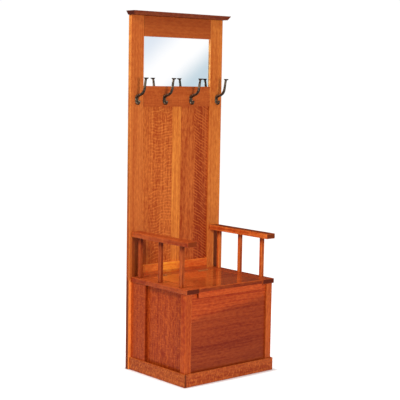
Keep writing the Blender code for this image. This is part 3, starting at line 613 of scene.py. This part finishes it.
# %% Back panel boards
# A painted shadow of the left arm and its spindles on the board's front, below the arm at its left.
finish_board(
    "back_panel_left_board", "Z", "Y", (199, 100, 40), 8, streaks=0.5, clouds=0.8, ripples=0.55,
    bend=20.0, flecks=0.1, slope=-0.1, edge=0.0, mottle=0.65, figured=right_of(-0.20, 0.07, 0.05),
    drifts=(
        (on_face("back_panel_left_board", "front"), UNDER_ARM, left_of(-0.165, 0.05, 0.03),
         (0.64, 0.52, 0.48)),
    ),
)
finish_board("back_panel_pale_board", "Z", "Y", (216, 119, 46), 9, streaks=0.6, clouds=0.4, mottle=0.3,
             edge=0.0)
DOWN_AND_RIGHT = (0.4, 0, -1)
finish_board(
    "back_panel_right_board", "Z", "Y", (189, 90, 36), 10, streaks=0.7, clouds=0.5, mottle=0.6,
    ripples=2.0, bend=12.0, slope=0.55, edge=0.0, figured=right_of(0.12, 0.025, 0.02),
    drifts=(
        (right_of(0.11, 0.04, 0.02), (0.86, 0.76, 0.78)),
        ((DOWN_AND_RIGHT, -1.0, -0.62, 0.05), (0.94, 0.91, 0.94)),
    ),
)
finish_plain("lower_back_panel", "Z", "Y", 11)
print("finished so far:", len(finished))

# %% [markdown]
# ## The chest
# Posts, rear stiles and side panels have upright grain. The front panel, the rails inside it and
# the skirt, which has the most flecks, run level. The two sides are alike, so a loop finishes them;
# only the number that slides the pattern changes.

# %% Chest boards
# The left post's outer side is painted lighter: painted light from the left.
finish_board("front_left_post", "Z", "Y", (184, 77, 26), 12, streaks=0.4,
             drifts=((on_face("front_left_post", "left"), (1.24, 1.2, 0.9)),))
finish_board("front_right_post", "Z", "Y", (186, 80, 28), 13, streaks=0.4)
for count, hand in enumerate(("left", "right")):
    rear_stile = "side_" + hand + "_rear_stile"
    # The rear stiles' front faces, at the edge of the side panels' recess, are darkened: painted shade.
    finish_board(rear_stile, "Z", "X", (180, 70, 22), 14 + count, streaks=0.4, clouds=0.3, flecks=0.4,
                 mottle=0.6, drifts=((on_face(rear_stile, "front"), (0.55, 0.45, 0.4)),))
    finish_board("side_" + hand + "_panel", "Z", "X", (184, 71, 20), 16 + count, streaks=0.4,
                 clouds=0.2, flecks=0.45, mottle=0.7, edge=0.0)
    finish_board("skirt_" + hand, "Y", "X", (190, 89, 32), 18 + count, flecks=1.3, streaks=0.4,
                 mottle=0.6, slope=0.4)
    finish_plain("floor_" + hand + "_cleat", "Y", "X", 20 + count)
DOWN_THE_PANEL = (0.14, 0, -1)
finish_board("front_panel", "X", "Y", (181, 69, 23), 22, streaks=0.5, clouds=0.6, edge=0.0,
             drifts=(((DOWN_THE_PANEL, -0.38, -0.34, 0.04), (0.66, 0.62, 0.66)),
                     (below(0.26, 0.14, 0.05), (0.90, 0.92, 0.95))))
finish_board("front_inner_rail", "X", "Y", (180, 80, 36), 23)
finish_board("hinge_rail_cleat", "X", "Y", (180, 80, 36), 24)
finish_board("skirt_front", "X", "Y", (176, 77, 28), 25, flecks=0.9, streaks=0.4, mottle=0.6,
             drifts=((left_of(-0.2845, 0.0035), (0.36, 0.28, 0.25)),))
finish_plain("chest_floor", "X", "Z", 26)
print("finished so far:", len(finished))

# %% [markdown]
# ## The seat and the arms
# The seat is framed: two end rails that run from front to back, a hinge rail at the wall, and the
# lid between them. The same wide boards make the arms. The sawn front ends of the seat's rails are
# the darkest wood on the piece. The seat is polished by years of use, so its top gets a fuller and
# smoother coat; the rest of the piece stays satin.

# %% Seat and arm boards
SEAT_COAT, SEAT_COAT_ROUGHNESS = 0.9, 0.06
RAIL_COAT, RAIL_COAT_ROUGHNESS = 0.4, 0.12
SPINDLE_HEAD = above(ARM_UNDERSIDE - 0.045, 0.035, 0.01)
finish_board("seat_hinge_rail", "X", "Z", (180, 80, 36), 27)
# The lid's front edge is darkened, a painted shade, and the lid darkens towards the right, a painted shade
# beside the right arm.
finish_board("seat_lid", "X", "Z", (196, 84, 32), 28, streaks=0.45,
             drifts=((on_face("seat_lid", "front"), (0.52, 0.44, 0.36)),
                     (right_of(-0.05, 0.27, 0.05), (0.86, 0.80, 0.72))))
finish_board("lid_lip", "X", "Y", (193, 76, 27), 29, streaks=0.3, clouds=0.3)
polish("seat_lid", SEAT_COAT, SEAT_COAT_ROUGHNESS)
polish("seat_hinge_rail", SEAT_COAT, SEAT_COAT_ROUGHNESS)
for count, hand in enumerate(("left", "right")):
    seat_rail = "seat_" + hand + "_rail"
    finish_board(seat_rail, "Y", "Z", (180, 74, 30), 30 + count,
                 drifts=((on_face(seat_rail, "front"), (0.62, 0.62, 0.40)),))
    polish(seat_rail, RAIL_COAT, RAIL_COAT_ROUGHNESS)
# Painted light and shade: the right arm takes a lighter tone than the left one, the left arm's front end is
# painted lighter, and the right arm's top darker.
finish_board("arm_left", "Y", "Z", (176, 72, 27), 32, streaks=0.8,
             drifts=((on_face("arm_left", "front"), (1.3, 1.8, 1.3)),))
finish_board("arm_right", "Y", "Z", (214, 104, 42), 33, streaks=0.8,
             drifts=((on_face("arm_right", "top"), (0.42, 0.32, 0.30)),
                     (on_face("arm_right", "front"), (0.72, 0.8, 0.8))))
# The right spindles take a lighter tone than the left ones: painted light. Each spindle's head gets a
# painted shadow of its arm, and its front face painted shade.
for count, (hand, tone) in enumerate((("left", (176, 74, 28)), ("right", (218, 108, 44)))):
    for step, place in enumerate(("back", "middle", "front")):
        spindle = "spindle_" + hand + "_" + place
        finish_board(
            spindle, "Z", "X", tone, 34 + 3 * count + step, streaks=1.3, edge=0.6,
            drifts=((SPINDLE_HEAD, (0.5, 0.38, 0.34)), (on_face(spindle, "front"), (0.70, 0.66, 0.60))),
        )
print("finished so far:", len(finished))

# %% [markdown]
# ## The mirror
# Plate glass silvered on the back reflects nearly everything, with the faint cool colour of the
# glass. Clear glass over a sheet of silver would be the true build; a metal with no roughness looks
# much the same and renders faster. Its colour also carries a painted reflection: pale blue, whitest
# along one slanting band as if the room's light fell there, and greyer below.

# %% Mirror glass
mirror, mirror_tree, mirror_shader = new_material("silvered_glass")
mirror_shader.inputs["Metallic"].default_value = 1.0
mirror_shader.inputs["Roughness"].default_value = 0.0
# The three colours below are a painted reflection, laid over the mirror in slanting bands.
MIRROR_SLANT = (0.6, 0, -0.8)
PAINTED_REFLECTION_TOP, PAINTED_REFLECTION_BAND, PAINTED_REFLECTION_LOW = colour(220, 229, 240), colour(254, 254, 255), colour(196, 214, 224)
into_band = add_drift(mirror_tree, MIRROR_SLANT, -1.47, -1.31)
out_of_band = add_drift(mirror_tree, MIRROR_SLANT, -1.25, -1.11)
painted_reflection = mix_colours(mirror_tree, into_band, PAINTED_REFLECTION_TOP, PAINTED_REFLECTION_BAND)
painted_reflection = mix_colours(mirror_tree, out_of_band, painted_reflection, PAINTED_REFLECTION_LOW)
mirror_tree.links.new(painted_reflection, mirror_shader.inputs["Base Color"])
lay_on(["mirror_glass"], mirror)
print("mirror nodes:", len(mirror_tree.nodes))

# %% [markdown]
# ## Bronze
# The hooks are cast, then darkened almost to black. Handling rubs the brown patina back to bare
# metal on top; underneath they are darker, partly patina left alone and partly painted shade. Bronze
# is all metal, but its patina is not, so the shader is set about half-way between the two.

# %% Bronze material
hook_parts = ["hook_" + str(number) + part for number in range(1, 5)
              for part in ("", "_upper_screw", "_lower_screw")]
PATINA, RUBBED_BRONZE = colour(58, 46, 36), colour(138, 119, 95)
# The underside colour is partly patina and partly painted shade.
bronze = speckled("dark_bronze", PATINA, RUBBED_BRONZE, (150, 150, 110), (0.46, 0.32), 0.55,
                  underside=(0.25, 0.23, 0.21))
lay_on(hook_parts, bronze)
print("bronze pieces:", len(hook_parts))

# %% [markdown]
# ## Casting a hook
# Each hook starts as a circle on its wall plate. The circle is extruded, turned and scaled along the
# arm's line, ring by ring; a bevelled curve could draw much the same rod. A stadium-shaped plate, a
# flared cap and a round knob join the arms. All of them are then melted into one skin, which is how
# a casting looks: no seams, and a soft fillet where the arms leave the plate.

# %% Tools for shaping by hand
HOOK_PLACE = Vector((-0.2667, 0.2143125, 1.38811))   # the first hook, on the face of the stile
INCH = 0.0254


def shape_mode(piece):
    """Pick one piece alone and open its mesh."""
    bpy.ops.object.select_all(action="DESELECT")
    bpy.context.view_layer.objects.active = piece
    piece.select_set(True)
    bpy.ops.object.mode_set(mode="EDIT")


def pick_faces(piece, wanted):
    """In shape mode, select just the faces whose middle and direction pass a test."""
    shape = bmesh.from_edit_mesh(piece.data)
    for face in shape.faces:
        face.select_set(False)
    for face in shape.faces:
        if wanted(piece.matrix_world @ face.calc_center_median(), piece.matrix_world.to_3x3() @ face.normal):
            face.select_set(True)
    shape.select_flush_mode()
    bmesh.update_edit_mesh(piece.data)


def settle(piece):
    """Close the mesh and bring its origin back to the middle of the floor, unturned."""
    if piece.mode == "EDIT":
        bpy.ops.object.mode_set(mode="OBJECT")
    bpy.ops.object.select_all(action="DESELECT")
    bpy.context.view_layer.objects.active = piece
    piece.select_set(True)
    bpy.ops.object.transform_apply(location=True, rotation=True, scale=True)


def work_in(piece, kind, **settings):
    """Add a modifier, set it, and apply it at once."""
    modifier = piece.modifiers.new(kind.lower(), kind)
    for name, value in settings.items():
        setattr(modifier, name, value)
    bpy.context.view_layer.objects.active = piece
    bpy.ops.object.modifier_apply(modifier=modifier.name)


def on_hook(out, up):
    """A place on the first hook: inches out from the wood and above the hook's middle."""
    return HOOK_PLACE + Vector((0, -out * INCH, up * INCH))


def smooth_line(points, steps):
    """More points along the same bends, by Catmull and Rom's rule."""
    padded = [points[0], *points, points[-1]]
    line = []
    for a, b, c, d in zip(padded, padded[1:], padded[2:], padded[3:]):
        for step in range(steps):
            t = step / steps
            line.append(tuple(
                0.5 * (2 * q + (r - p) * t + (2 * p - 5 * q + 4 * r - s) * t ** 2
                       + (3 * q - p - 3 * r + s) * t ** 3)
                for p, q, r, s in zip(a, b, c, d)
            ))
    return line + [points[-1]]


print("the first hook is at", [round(part, 4) for part in HOOK_PLACE])

# %% [markdown]
# The arm tool draws one rod. Each station on its line is (out, up, radius), with out and up in inches
# and the radius in metres. The ring is turned at every step, so that it always faces along the line.
# The upper arm runs out at a gentle slope and then stands up; the lower arm is a short curl.

# %% Arms of a hook
ARM_WIDENING = 1.25                  # the arms are broader across than they are thick


def draw_arm(name, stations):
    line = smooth_line(stations, 4)
    places = [on_hook(out, up) for out, up, radius in line]
    turns = []
    for number in range(len(line)):
        back, ahead = places[max(number - 1, 0)], places[min(number + 1, len(line) - 1)]
        turns.append(math.atan2(back.y - ahead.y, ahead.z - back.z))
    bpy.ops.mesh.primitive_circle_add(
        vertices=24, radius=line[0][2], fill_type="NGON", location=places[0], rotation=(turns[0], 0, 0)
    )
    arm = bpy.context.active_object
    arm.name = name
    shape_mode(arm)
    bpy.ops.mesh.select_all(action="SELECT")
    for number in range(1, len(line)):
        bpy.ops.mesh.extrude_region_move(
            TRANSFORM_OT_translate={"value": places[number] - places[number - 1]}
        )
        bpy.ops.transform.rotate(
            value=turns[number - 1] - turns[number], orient_axis="X", center_override=places[number]
        )
        growth = line[number][2] / line[number - 1][2]
        bpy.ops.transform.resize(value=(growth,) * 3, center_override=places[number])
    bpy.ops.mesh.select_all(action="SELECT")
    bpy.ops.mesh.normals_make_consistent(inside=False)
    bpy.ops.transform.resize(value=(ARM_WIDENING, 1, 1), center_override=HOOK_PLACE)
    settle(arm)
    return arm


upper_arm = draw_arm("hook_upper_arm", (
    (0.05, 0.42, 0.0076), (0.45, 0.66, 0.0077), (0.95, 0.86, 0.0074), (1.5, 1.02, 0.0070),
    (2.05, 1.33, 0.0066), (2.42, 1.8, 0.0062), (2.6, 2.35, 0.0058), (2.72, 2.95, 0.0055),
    (2.82, 3.5, 0.0053), (2.95, 4.02, 0.0051), (3.04, 4.2, 0.0052),
))
lower_arm = draw_arm("hook_lower_arm", (
    (0.05, -0.62, 0.0056), (0.3, -0.86, 0.0054), (0.6, -0.9, 0.0050), (0.82, -0.74, 0.0047),
    (0.92, -0.45, 0.0045),
))
print("arm faces:", len(upper_arm.data.polygons), len(lower_arm.data.polygons))

# %% [markdown]
# The plate is a disc pulled apart at its middle, which keeps both ends truly round. Its front edge
# is bevelled. The cap is a short cone with a dished top, and the knob at the tip of the lower arm is
# a ball.

# %% Plate, cap and knob
PLATE_RADIUS = 0.0101
PLATE_THICKNESS = 0.0032
PLATE_STRETCH = 0.0119
PLATE_GAP = 0.0003                   # the plate stops just short of the wood
plate_place = HOOK_PLACE - Vector((0, PLATE_THICKNESS / 2 + PLATE_GAP, 0))
bpy.ops.mesh.primitive_cylinder_add(
    vertices=32, radius=PLATE_RADIUS, depth=PLATE_THICKNESS, location=plate_place,
    rotation=(math.pi / 2, 0, 0),
)
plate = bpy.context.active_object
shape_mode(plate)
shape = bmesh.from_edit_mesh(plate.data)
bpy.ops.mesh.select_all(action="DESELECT")
for half in (1, -1):
    for point in shape.verts:
        height = (plate.matrix_world @ point.co).z - HOOK_PLACE.z
        point.select_set(half * height > 0.0001)
    shape.select_flush_mode()
    bmesh.update_edit_mesh(plate.data)
    bpy.ops.transform.translate(value=(0, 0, half * PLATE_STRETCH))
pick_faces(plate, lambda middle, facing: facing.y < -0.9)
bpy.ops.mesh.bevel(offset=0.0009, segments=3, affect="EDGES")
settle(plate)

CAP_FOOT_RADIUS, CAP_RIM_RADIUS, CAP_HEIGHT = 0.0094, 0.0130, 0.0070
CAP_RIM, CAP_DISH = 0.0022, 0.0005
KNOB_RADIUS = 0.0056
bpy.ops.mesh.primitive_cone_add(
    vertices=40, radius1=CAP_FOOT_RADIUS, radius2=CAP_RIM_RADIUS, depth=CAP_HEIGHT,
    location=on_hook(3.06, 4.2),
)
cap = bpy.context.active_object
shape_mode(cap)
pick_faces(cap, lambda middle, facing: facing.z > 0.9)
bpy.ops.mesh.inset(thickness=CAP_RIM)
bpy.ops.transform.translate(value=(0, 0, -CAP_DISH))
settle(cap)
bpy.ops.mesh.primitive_uv_sphere_add(
    segments=28, ring_count=16, radius=KNOB_RADIUS, location=on_hook(0.93, -0.42)
)
knob = bpy.context.active_object
settle(knob)
print("plate faces:", len(plate.data.polygons), "cap faces:", len(cap.data.polygons))

# %% [markdown]
# Round pockets are cut where the two screw heads sit, so that a screw can go in past the arm.
# After that, joining and remeshing give the one skin. Booleans could unite the parts too, but they
# leave sharp creases; the remesher fills space with tiny cubes and wraps them, so it closes the seams
# by itself. The first hook is then copied three times.

# %% One skin, four hooks
SCREW_HEIGHTS = {"upper": 0.001778, "lower": -0.006477}
HEAD_RADIUS = 0.0036
POCKET_CLEARANCE = 0.0004
POCKET_DEPTH = 0.0060
POCKET_START = PLATE_THICKNESS + 0.00045
SKIN_FINENESS = 0.0006
pockets = []
for height in SCREW_HEIGHTS.values():
    bpy.ops.mesh.primitive_cylinder_add(
        vertices=32, radius=HEAD_RADIUS + POCKET_CLEARANCE, depth=POCKET_DEPTH,
        location=HOOK_PLACE + Vector((0, -POCKET_START - POCKET_DEPTH / 2, height)),
        rotation=(math.pi / 2, 0, 0),
    )
    pockets.append(bpy.context.active_object)
for arm in (upper_arm, lower_arm):
    for pocket in pockets:
        work_in(arm, "BOOLEAN", operation="DIFFERENCE", solver="EXACT", object=pocket)
for pocket in pockets:
    bpy.data.objects.remove(pocket, do_unlink=True)

bpy.ops.object.select_all(action="DESELECT")
for piece in (upper_arm, lower_arm, plate, cap, knob):
    piece.select_set(True)
bpy.context.view_layer.objects.active = plate
bpy.ops.object.join()
hook = plate
hook.name = "hook_1_casting"
work_in(hook, "REMESH", mode="VOXEL", voxel_size=SKIN_FINENESS)
work_in(hook, "SMOOTH", factor=0.5, iterations=5)
shape_mode(hook)
bpy.ops.mesh.select_all(action="SELECT")
bpy.ops.mesh.bisect(
    plane_co=HOOK_PLACE - Vector((0, PLATE_GAP, 0)), plane_no=(0, 1, 0), clear_outer=True, use_fill=True
)
settle(hook)
bpy.ops.object.shade_smooth_by_angle(angle=math.radians(40))
hook.data.materials.clear()
hook.data.materials.append(bronze)

HOOK_SPACING = 0.1778


def copy_along(piece, name, distance):
    """A copy with a mesh of its own, moved across the width."""
    bpy.ops.object.select_all(action="DESELECT")
    bpy.context.view_layer.objects.active = piece
    piece.select_set(True)
    bpy.ops.object.duplicate(linked=False)
    twin = bpy.context.active_object
    twin.name = name
    twin.location.x += distance
    settle(twin)
    return twin


hooks = [hook] + [
    copy_along(hook, "hook_" + str(number + 1) + "_casting", number * HOOK_SPACING) for number in (1, 2, 3)
]
for number, piece in enumerate(hooks, 1):
    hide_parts("hook_" + str(number))
    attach(piece, "frame")
print("hook castings:", len(hooks), "faces each:", len(hook.data.polygons))

# %% [markdown]
# ## Slotted screws
# Two round-headed wood screws hold each hook. The head is a disc extruded up in two shrinking
# steps, the shank is extruded from its back, and the slot is cut across. A half ball would give a
# rounder head, but at this size two steps do. No fitter leaves every slot at the same angle, so the
# upper and the lower screw are turned differently.

# %% Screws
SHANK_RADIUS = 0.0017
SHANK_LENGTH = 0.0160
TIP_LENGTH = 0.0030
HEAD_HEIGHT = 0.0018
HEAD_FACE_Y = HOOK_PLACE.y - PLATE_THICKNESS - 0.0006
SLOT_LENGTH, SLOT_DEPTH, SLOT_WIDTH = 0.0090, 0.0018, 0.0009
SLOT_TURNS = {"upper": 0.4, "lower": -0.7}


def shape_screw(name, place, slot_turn):
    bpy.ops.mesh.primitive_cylinder_add(
        vertices=28, radius=HEAD_RADIUS, depth=HEAD_HEIGHT * 0.4,
        location=place - Vector((0, HEAD_HEIGHT * 0.2, 0)), rotation=(math.pi / 2, 0, 0),
    )
    screw = bpy.context.active_object
    screw.name = name
    shape_mode(screw)
    pick_faces(screw, lambda middle, facing: facing.y < -0.9)
    for step, growth in ((0.4, 0.84), (0.2, 0.6)):
        bpy.ops.mesh.extrude_region_move(
            TRANSFORM_OT_translate={"value": (0, -HEAD_HEIGHT * step, 0)}
        )
        bpy.ops.transform.resize(value=(growth,) * 3, center_override=place)
    pick_faces(screw, lambda middle, facing: facing.y > 0.9)
    bpy.ops.mesh.inset(thickness=HEAD_RADIUS - SHANK_RADIUS)
    bpy.ops.mesh.extrude_region_move(TRANSFORM_OT_translate={"value": (0, SHANK_LENGTH, 0)})
    bpy.ops.mesh.extrude_region_move(TRANSFORM_OT_translate={"value": (0, TIP_LENGTH, 0)})
    tip = place + Vector((0, SHANK_LENGTH + TIP_LENGTH, 0))
    bpy.ops.transform.resize(value=(0.1,) * 3, center_override=tip)
    settle(screw)
    bpy.ops.mesh.primitive_cube_add(
        size=1.0, location=place - Vector((0, HEAD_HEIGHT, 0)), rotation=(0, slot_turn, 0),
        scale=(SLOT_LENGTH, SLOT_DEPTH, SLOT_WIDTH),
    )
    slot = bpy.context.active_object
    work_in(screw, "BOOLEAN", operation="DIFFERENCE", solver="EXACT", object=slot)
    bpy.data.objects.remove(slot, do_unlink=True)
    settle(screw)
    bpy.ops.object.shade_smooth_by_angle(angle=math.radians(30))
    screw.data.materials.clear()
    screw.data.materials.append(bronze)
    return screw


screws = []
for level, height in SCREW_HEIGHTS.items():
    place = Vector((HOOK_PLACE.x, HEAD_FACE_Y, HOOK_PLACE.z + height))
    first = shape_screw("hook_1_" + level + "_slotted_screw", place, SLOT_TURNS[level])
    for number in range(4):
        name = "hook_" + str(number + 1) + "_" + level
        piece = copy_along(first, name + "_slotted_screw", number * HOOK_SPACING) if number else first
        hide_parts(name + "_screw")
        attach(piece, "frame")
        screws.append(piece)
print("screws:", len(screws), "faces each:", len(screws[0].data.polygons))

# %% [markdown]
# ## Glue lines
# The three boards of the panel are glued edge to edge. A thin dark strip in each joint stands for
# the glue. A painted line would look much the same, but only a strip keeps light from coming through.

# %% Glue lines
JOINT_GAP = 0.0003
GLUE_WIDTH = 0.00026
GLUE_SETBACK = 0.0008                # how far the glue lies below the boards' faces
GLUE_BEVEL = 0.00004
glue = speckled("dark_glue", colour(84, 36, 16), colour(120, 56, 24), (90, 90, 40), (0.75, 0.65), 0.0)
pale_low, pale_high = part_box("back_panel_pale_board")
pale_middle = (pale_low + pale_high) / 2
for side, joint_x in (("left", pale_low.x - JOINT_GAP / 2), ("right", pale_high.x + JOINT_GAP / 2)):
    bpy.ops.mesh.primitive_cube_add(
        size=1.0, location=(joint_x, pale_middle.y, pale_middle.z),
        scale=(GLUE_WIDTH, pale_high.y - pale_low.y - 2 * GLUE_SETBACK, pale_high.z - pale_low.z - 0.002),
    )
    strip = bpy.context.active_object
    strip.name = "glue_line_" + side
    settle(strip)
    shape_mode(strip)
    bpy.ops.mesh.select_all(action="SELECT")
    bpy.ops.mesh.bevel(offset=GLUE_BEVEL, segments=1, affect="EDGES")
    settle(strip)
    strip.data.materials.append(glue)
    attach(strip, "frame")
print("glue lines: 2")

# %% [markdown]
# ## The floor
# The piece stands on a white floor that runs back to a white wall of light. Lit by lamps alone the
# floor would look grey, so it also glows, but only for the camera and in the mirror; the wood gets
# no light from that glow. The glow fades close to the skirt, which paints a shadow at the foot over
# the lamps' own shade there.

# %% Floor
FLOOR_GLOW = 0.70
# The low glow at the foot is a painted shadow.
FLOOR_GLOW_AT_FOOT = 0.05
SHADE_REACH = 0.045
bpy.ops.mesh.primitive_plane_add(size=60.0, location=(0, 0, -0.0006))
floor = bpy.context.active_object
floor.name = "studio_floor"
white, white_tree, white_shader = new_material("white_floor")
white_shader.inputs["Base Color"].default_value = (0.93, 0.93, 0.93, 1.0)
white_shader.inputs["Roughness"].default_value = 0.9
white_shader.inputs["Specular IOR Level"].default_value = 0.0
white_shader.inputs["Emission Color"].default_value = (1, 1, 1, 1)

foot_low = Vector((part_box("skirt_left")[0].x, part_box("skirt_front")[0].y, 0))
foot_high = Vector((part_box("skirt_right")[1].x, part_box("back_left_stile")[1].y, 0))
spot = put(white_tree, "ShaderNodeTexCoord").outputs["Object"]
foot_middle, foot_half = (foot_low + foot_high) / 2, (foot_high - foot_low) / 2
for operation, amount in (("SUBTRACT", foot_middle), ("ABSOLUTE", (0, 0, 0)), ("SUBTRACT", foot_half)):
    spot = put(white_tree, "ShaderNodeVectorMath", {0: spot, 1: amount}, operation=operation).outputs[0]
beyond = put(white_tree, "ShaderNodeSeparateXYZ", {0: spot}).outputs
beyond = work_out(white_tree, "MAXIMUM", beyond[0], beyond[1])
glow = ease_between(white_tree, beyond, 0.0, SHADE_REACH, FLOOR_GLOW_AT_FOOT, FLOOR_GLOW)
straight = put(white_tree, "ShaderNodeLightPath").outputs
straight = work_out(white_tree, "MAXIMUM", straight["Is Camera Ray"], straight["Is Singular Ray"])
white_tree.links.new(
    work_out(white_tree, "MULTIPLY", straight, glow), white_shader.inputs["Emission Strength"]
)
floor.data.materials.append(white)
print("floor ready")

# %% [markdown]
# ## The light
# The world is plain white and fills every corner softly, but glossy rays see a much darker room,
# since white walls all round would lay a milky haze over the lacquer. Three softboxes give the light
# its direction: one in front, one high on the left that catches the side faces, and one overhead.

# %% World and softboxes
BACKDROP = 1.02                      # what the camera sees, straight or by way of the mirror
ROOM_FILL = 0.38                     # the soft light that reaches every side
ROOM_SHEEN = 0.025                   # what the lacquer mirrors

world = bpy.data.worlds.new("white_room")
world.use_nodes = True
bpy.context.scene.world = world
room = world.node_tree
ray = put(room, "ShaderNodeLightPath").outputs
seen = work_out(room, "MAXIMUM", ray["Is Camera Ray"], ray["Is Singular Ray"])
level = put(room, "ShaderNodeMix", {0: ray["Is Glossy Ray"], 2: ROOM_FILL, 3: ROOM_SHEEN}).outputs[0]
level = put(room, "ShaderNodeMix", {0: seen, 2: level, 3: BACKDROP}).outputs[0]
room.links.new(level, room.nodes["Background"].inputs["Strength"])
room.nodes["Background"].inputs["Color"].default_value = (1, 1, 1, 1)


def softbox(name, place, aim, width, height, watts):
    """A rectangular area light turned to face a point."""
    data = bpy.data.lights.new(name, "AREA")
    data.shape = "RECTANGLE"
    data.size = width
    data.size_y = height
    data.energy = watts
    lamp = bpy.data.objects.new(name, data)
    lamp.location = place
    lamp.rotation_euler = (Vector(aim) - Vector(place)).to_track_quat("-Z", "Y").to_euler()
    bpy.context.scene.collection.objects.link(lamp)
    print(name, watts, "W")


softbox("front_softbox", (-0.9, -3.4, 1.55), (0, 0, 1.1), 0.6, 0.6, 60)
softbox("left_softbox", (-1.7, 0.05, 2.7), (-0.3, 0.15, 1.2), 0.7, 0.7, 34)
softbox("overhead_softbox", (0, -0.6, 4.0), (0, 0, 0), 3.0, 3.0, 20)

# %% [markdown]
# ## The count
# The number of finished boards is printed at the end.

# %% Count the finished boards
print("boards finished:", len(finished))
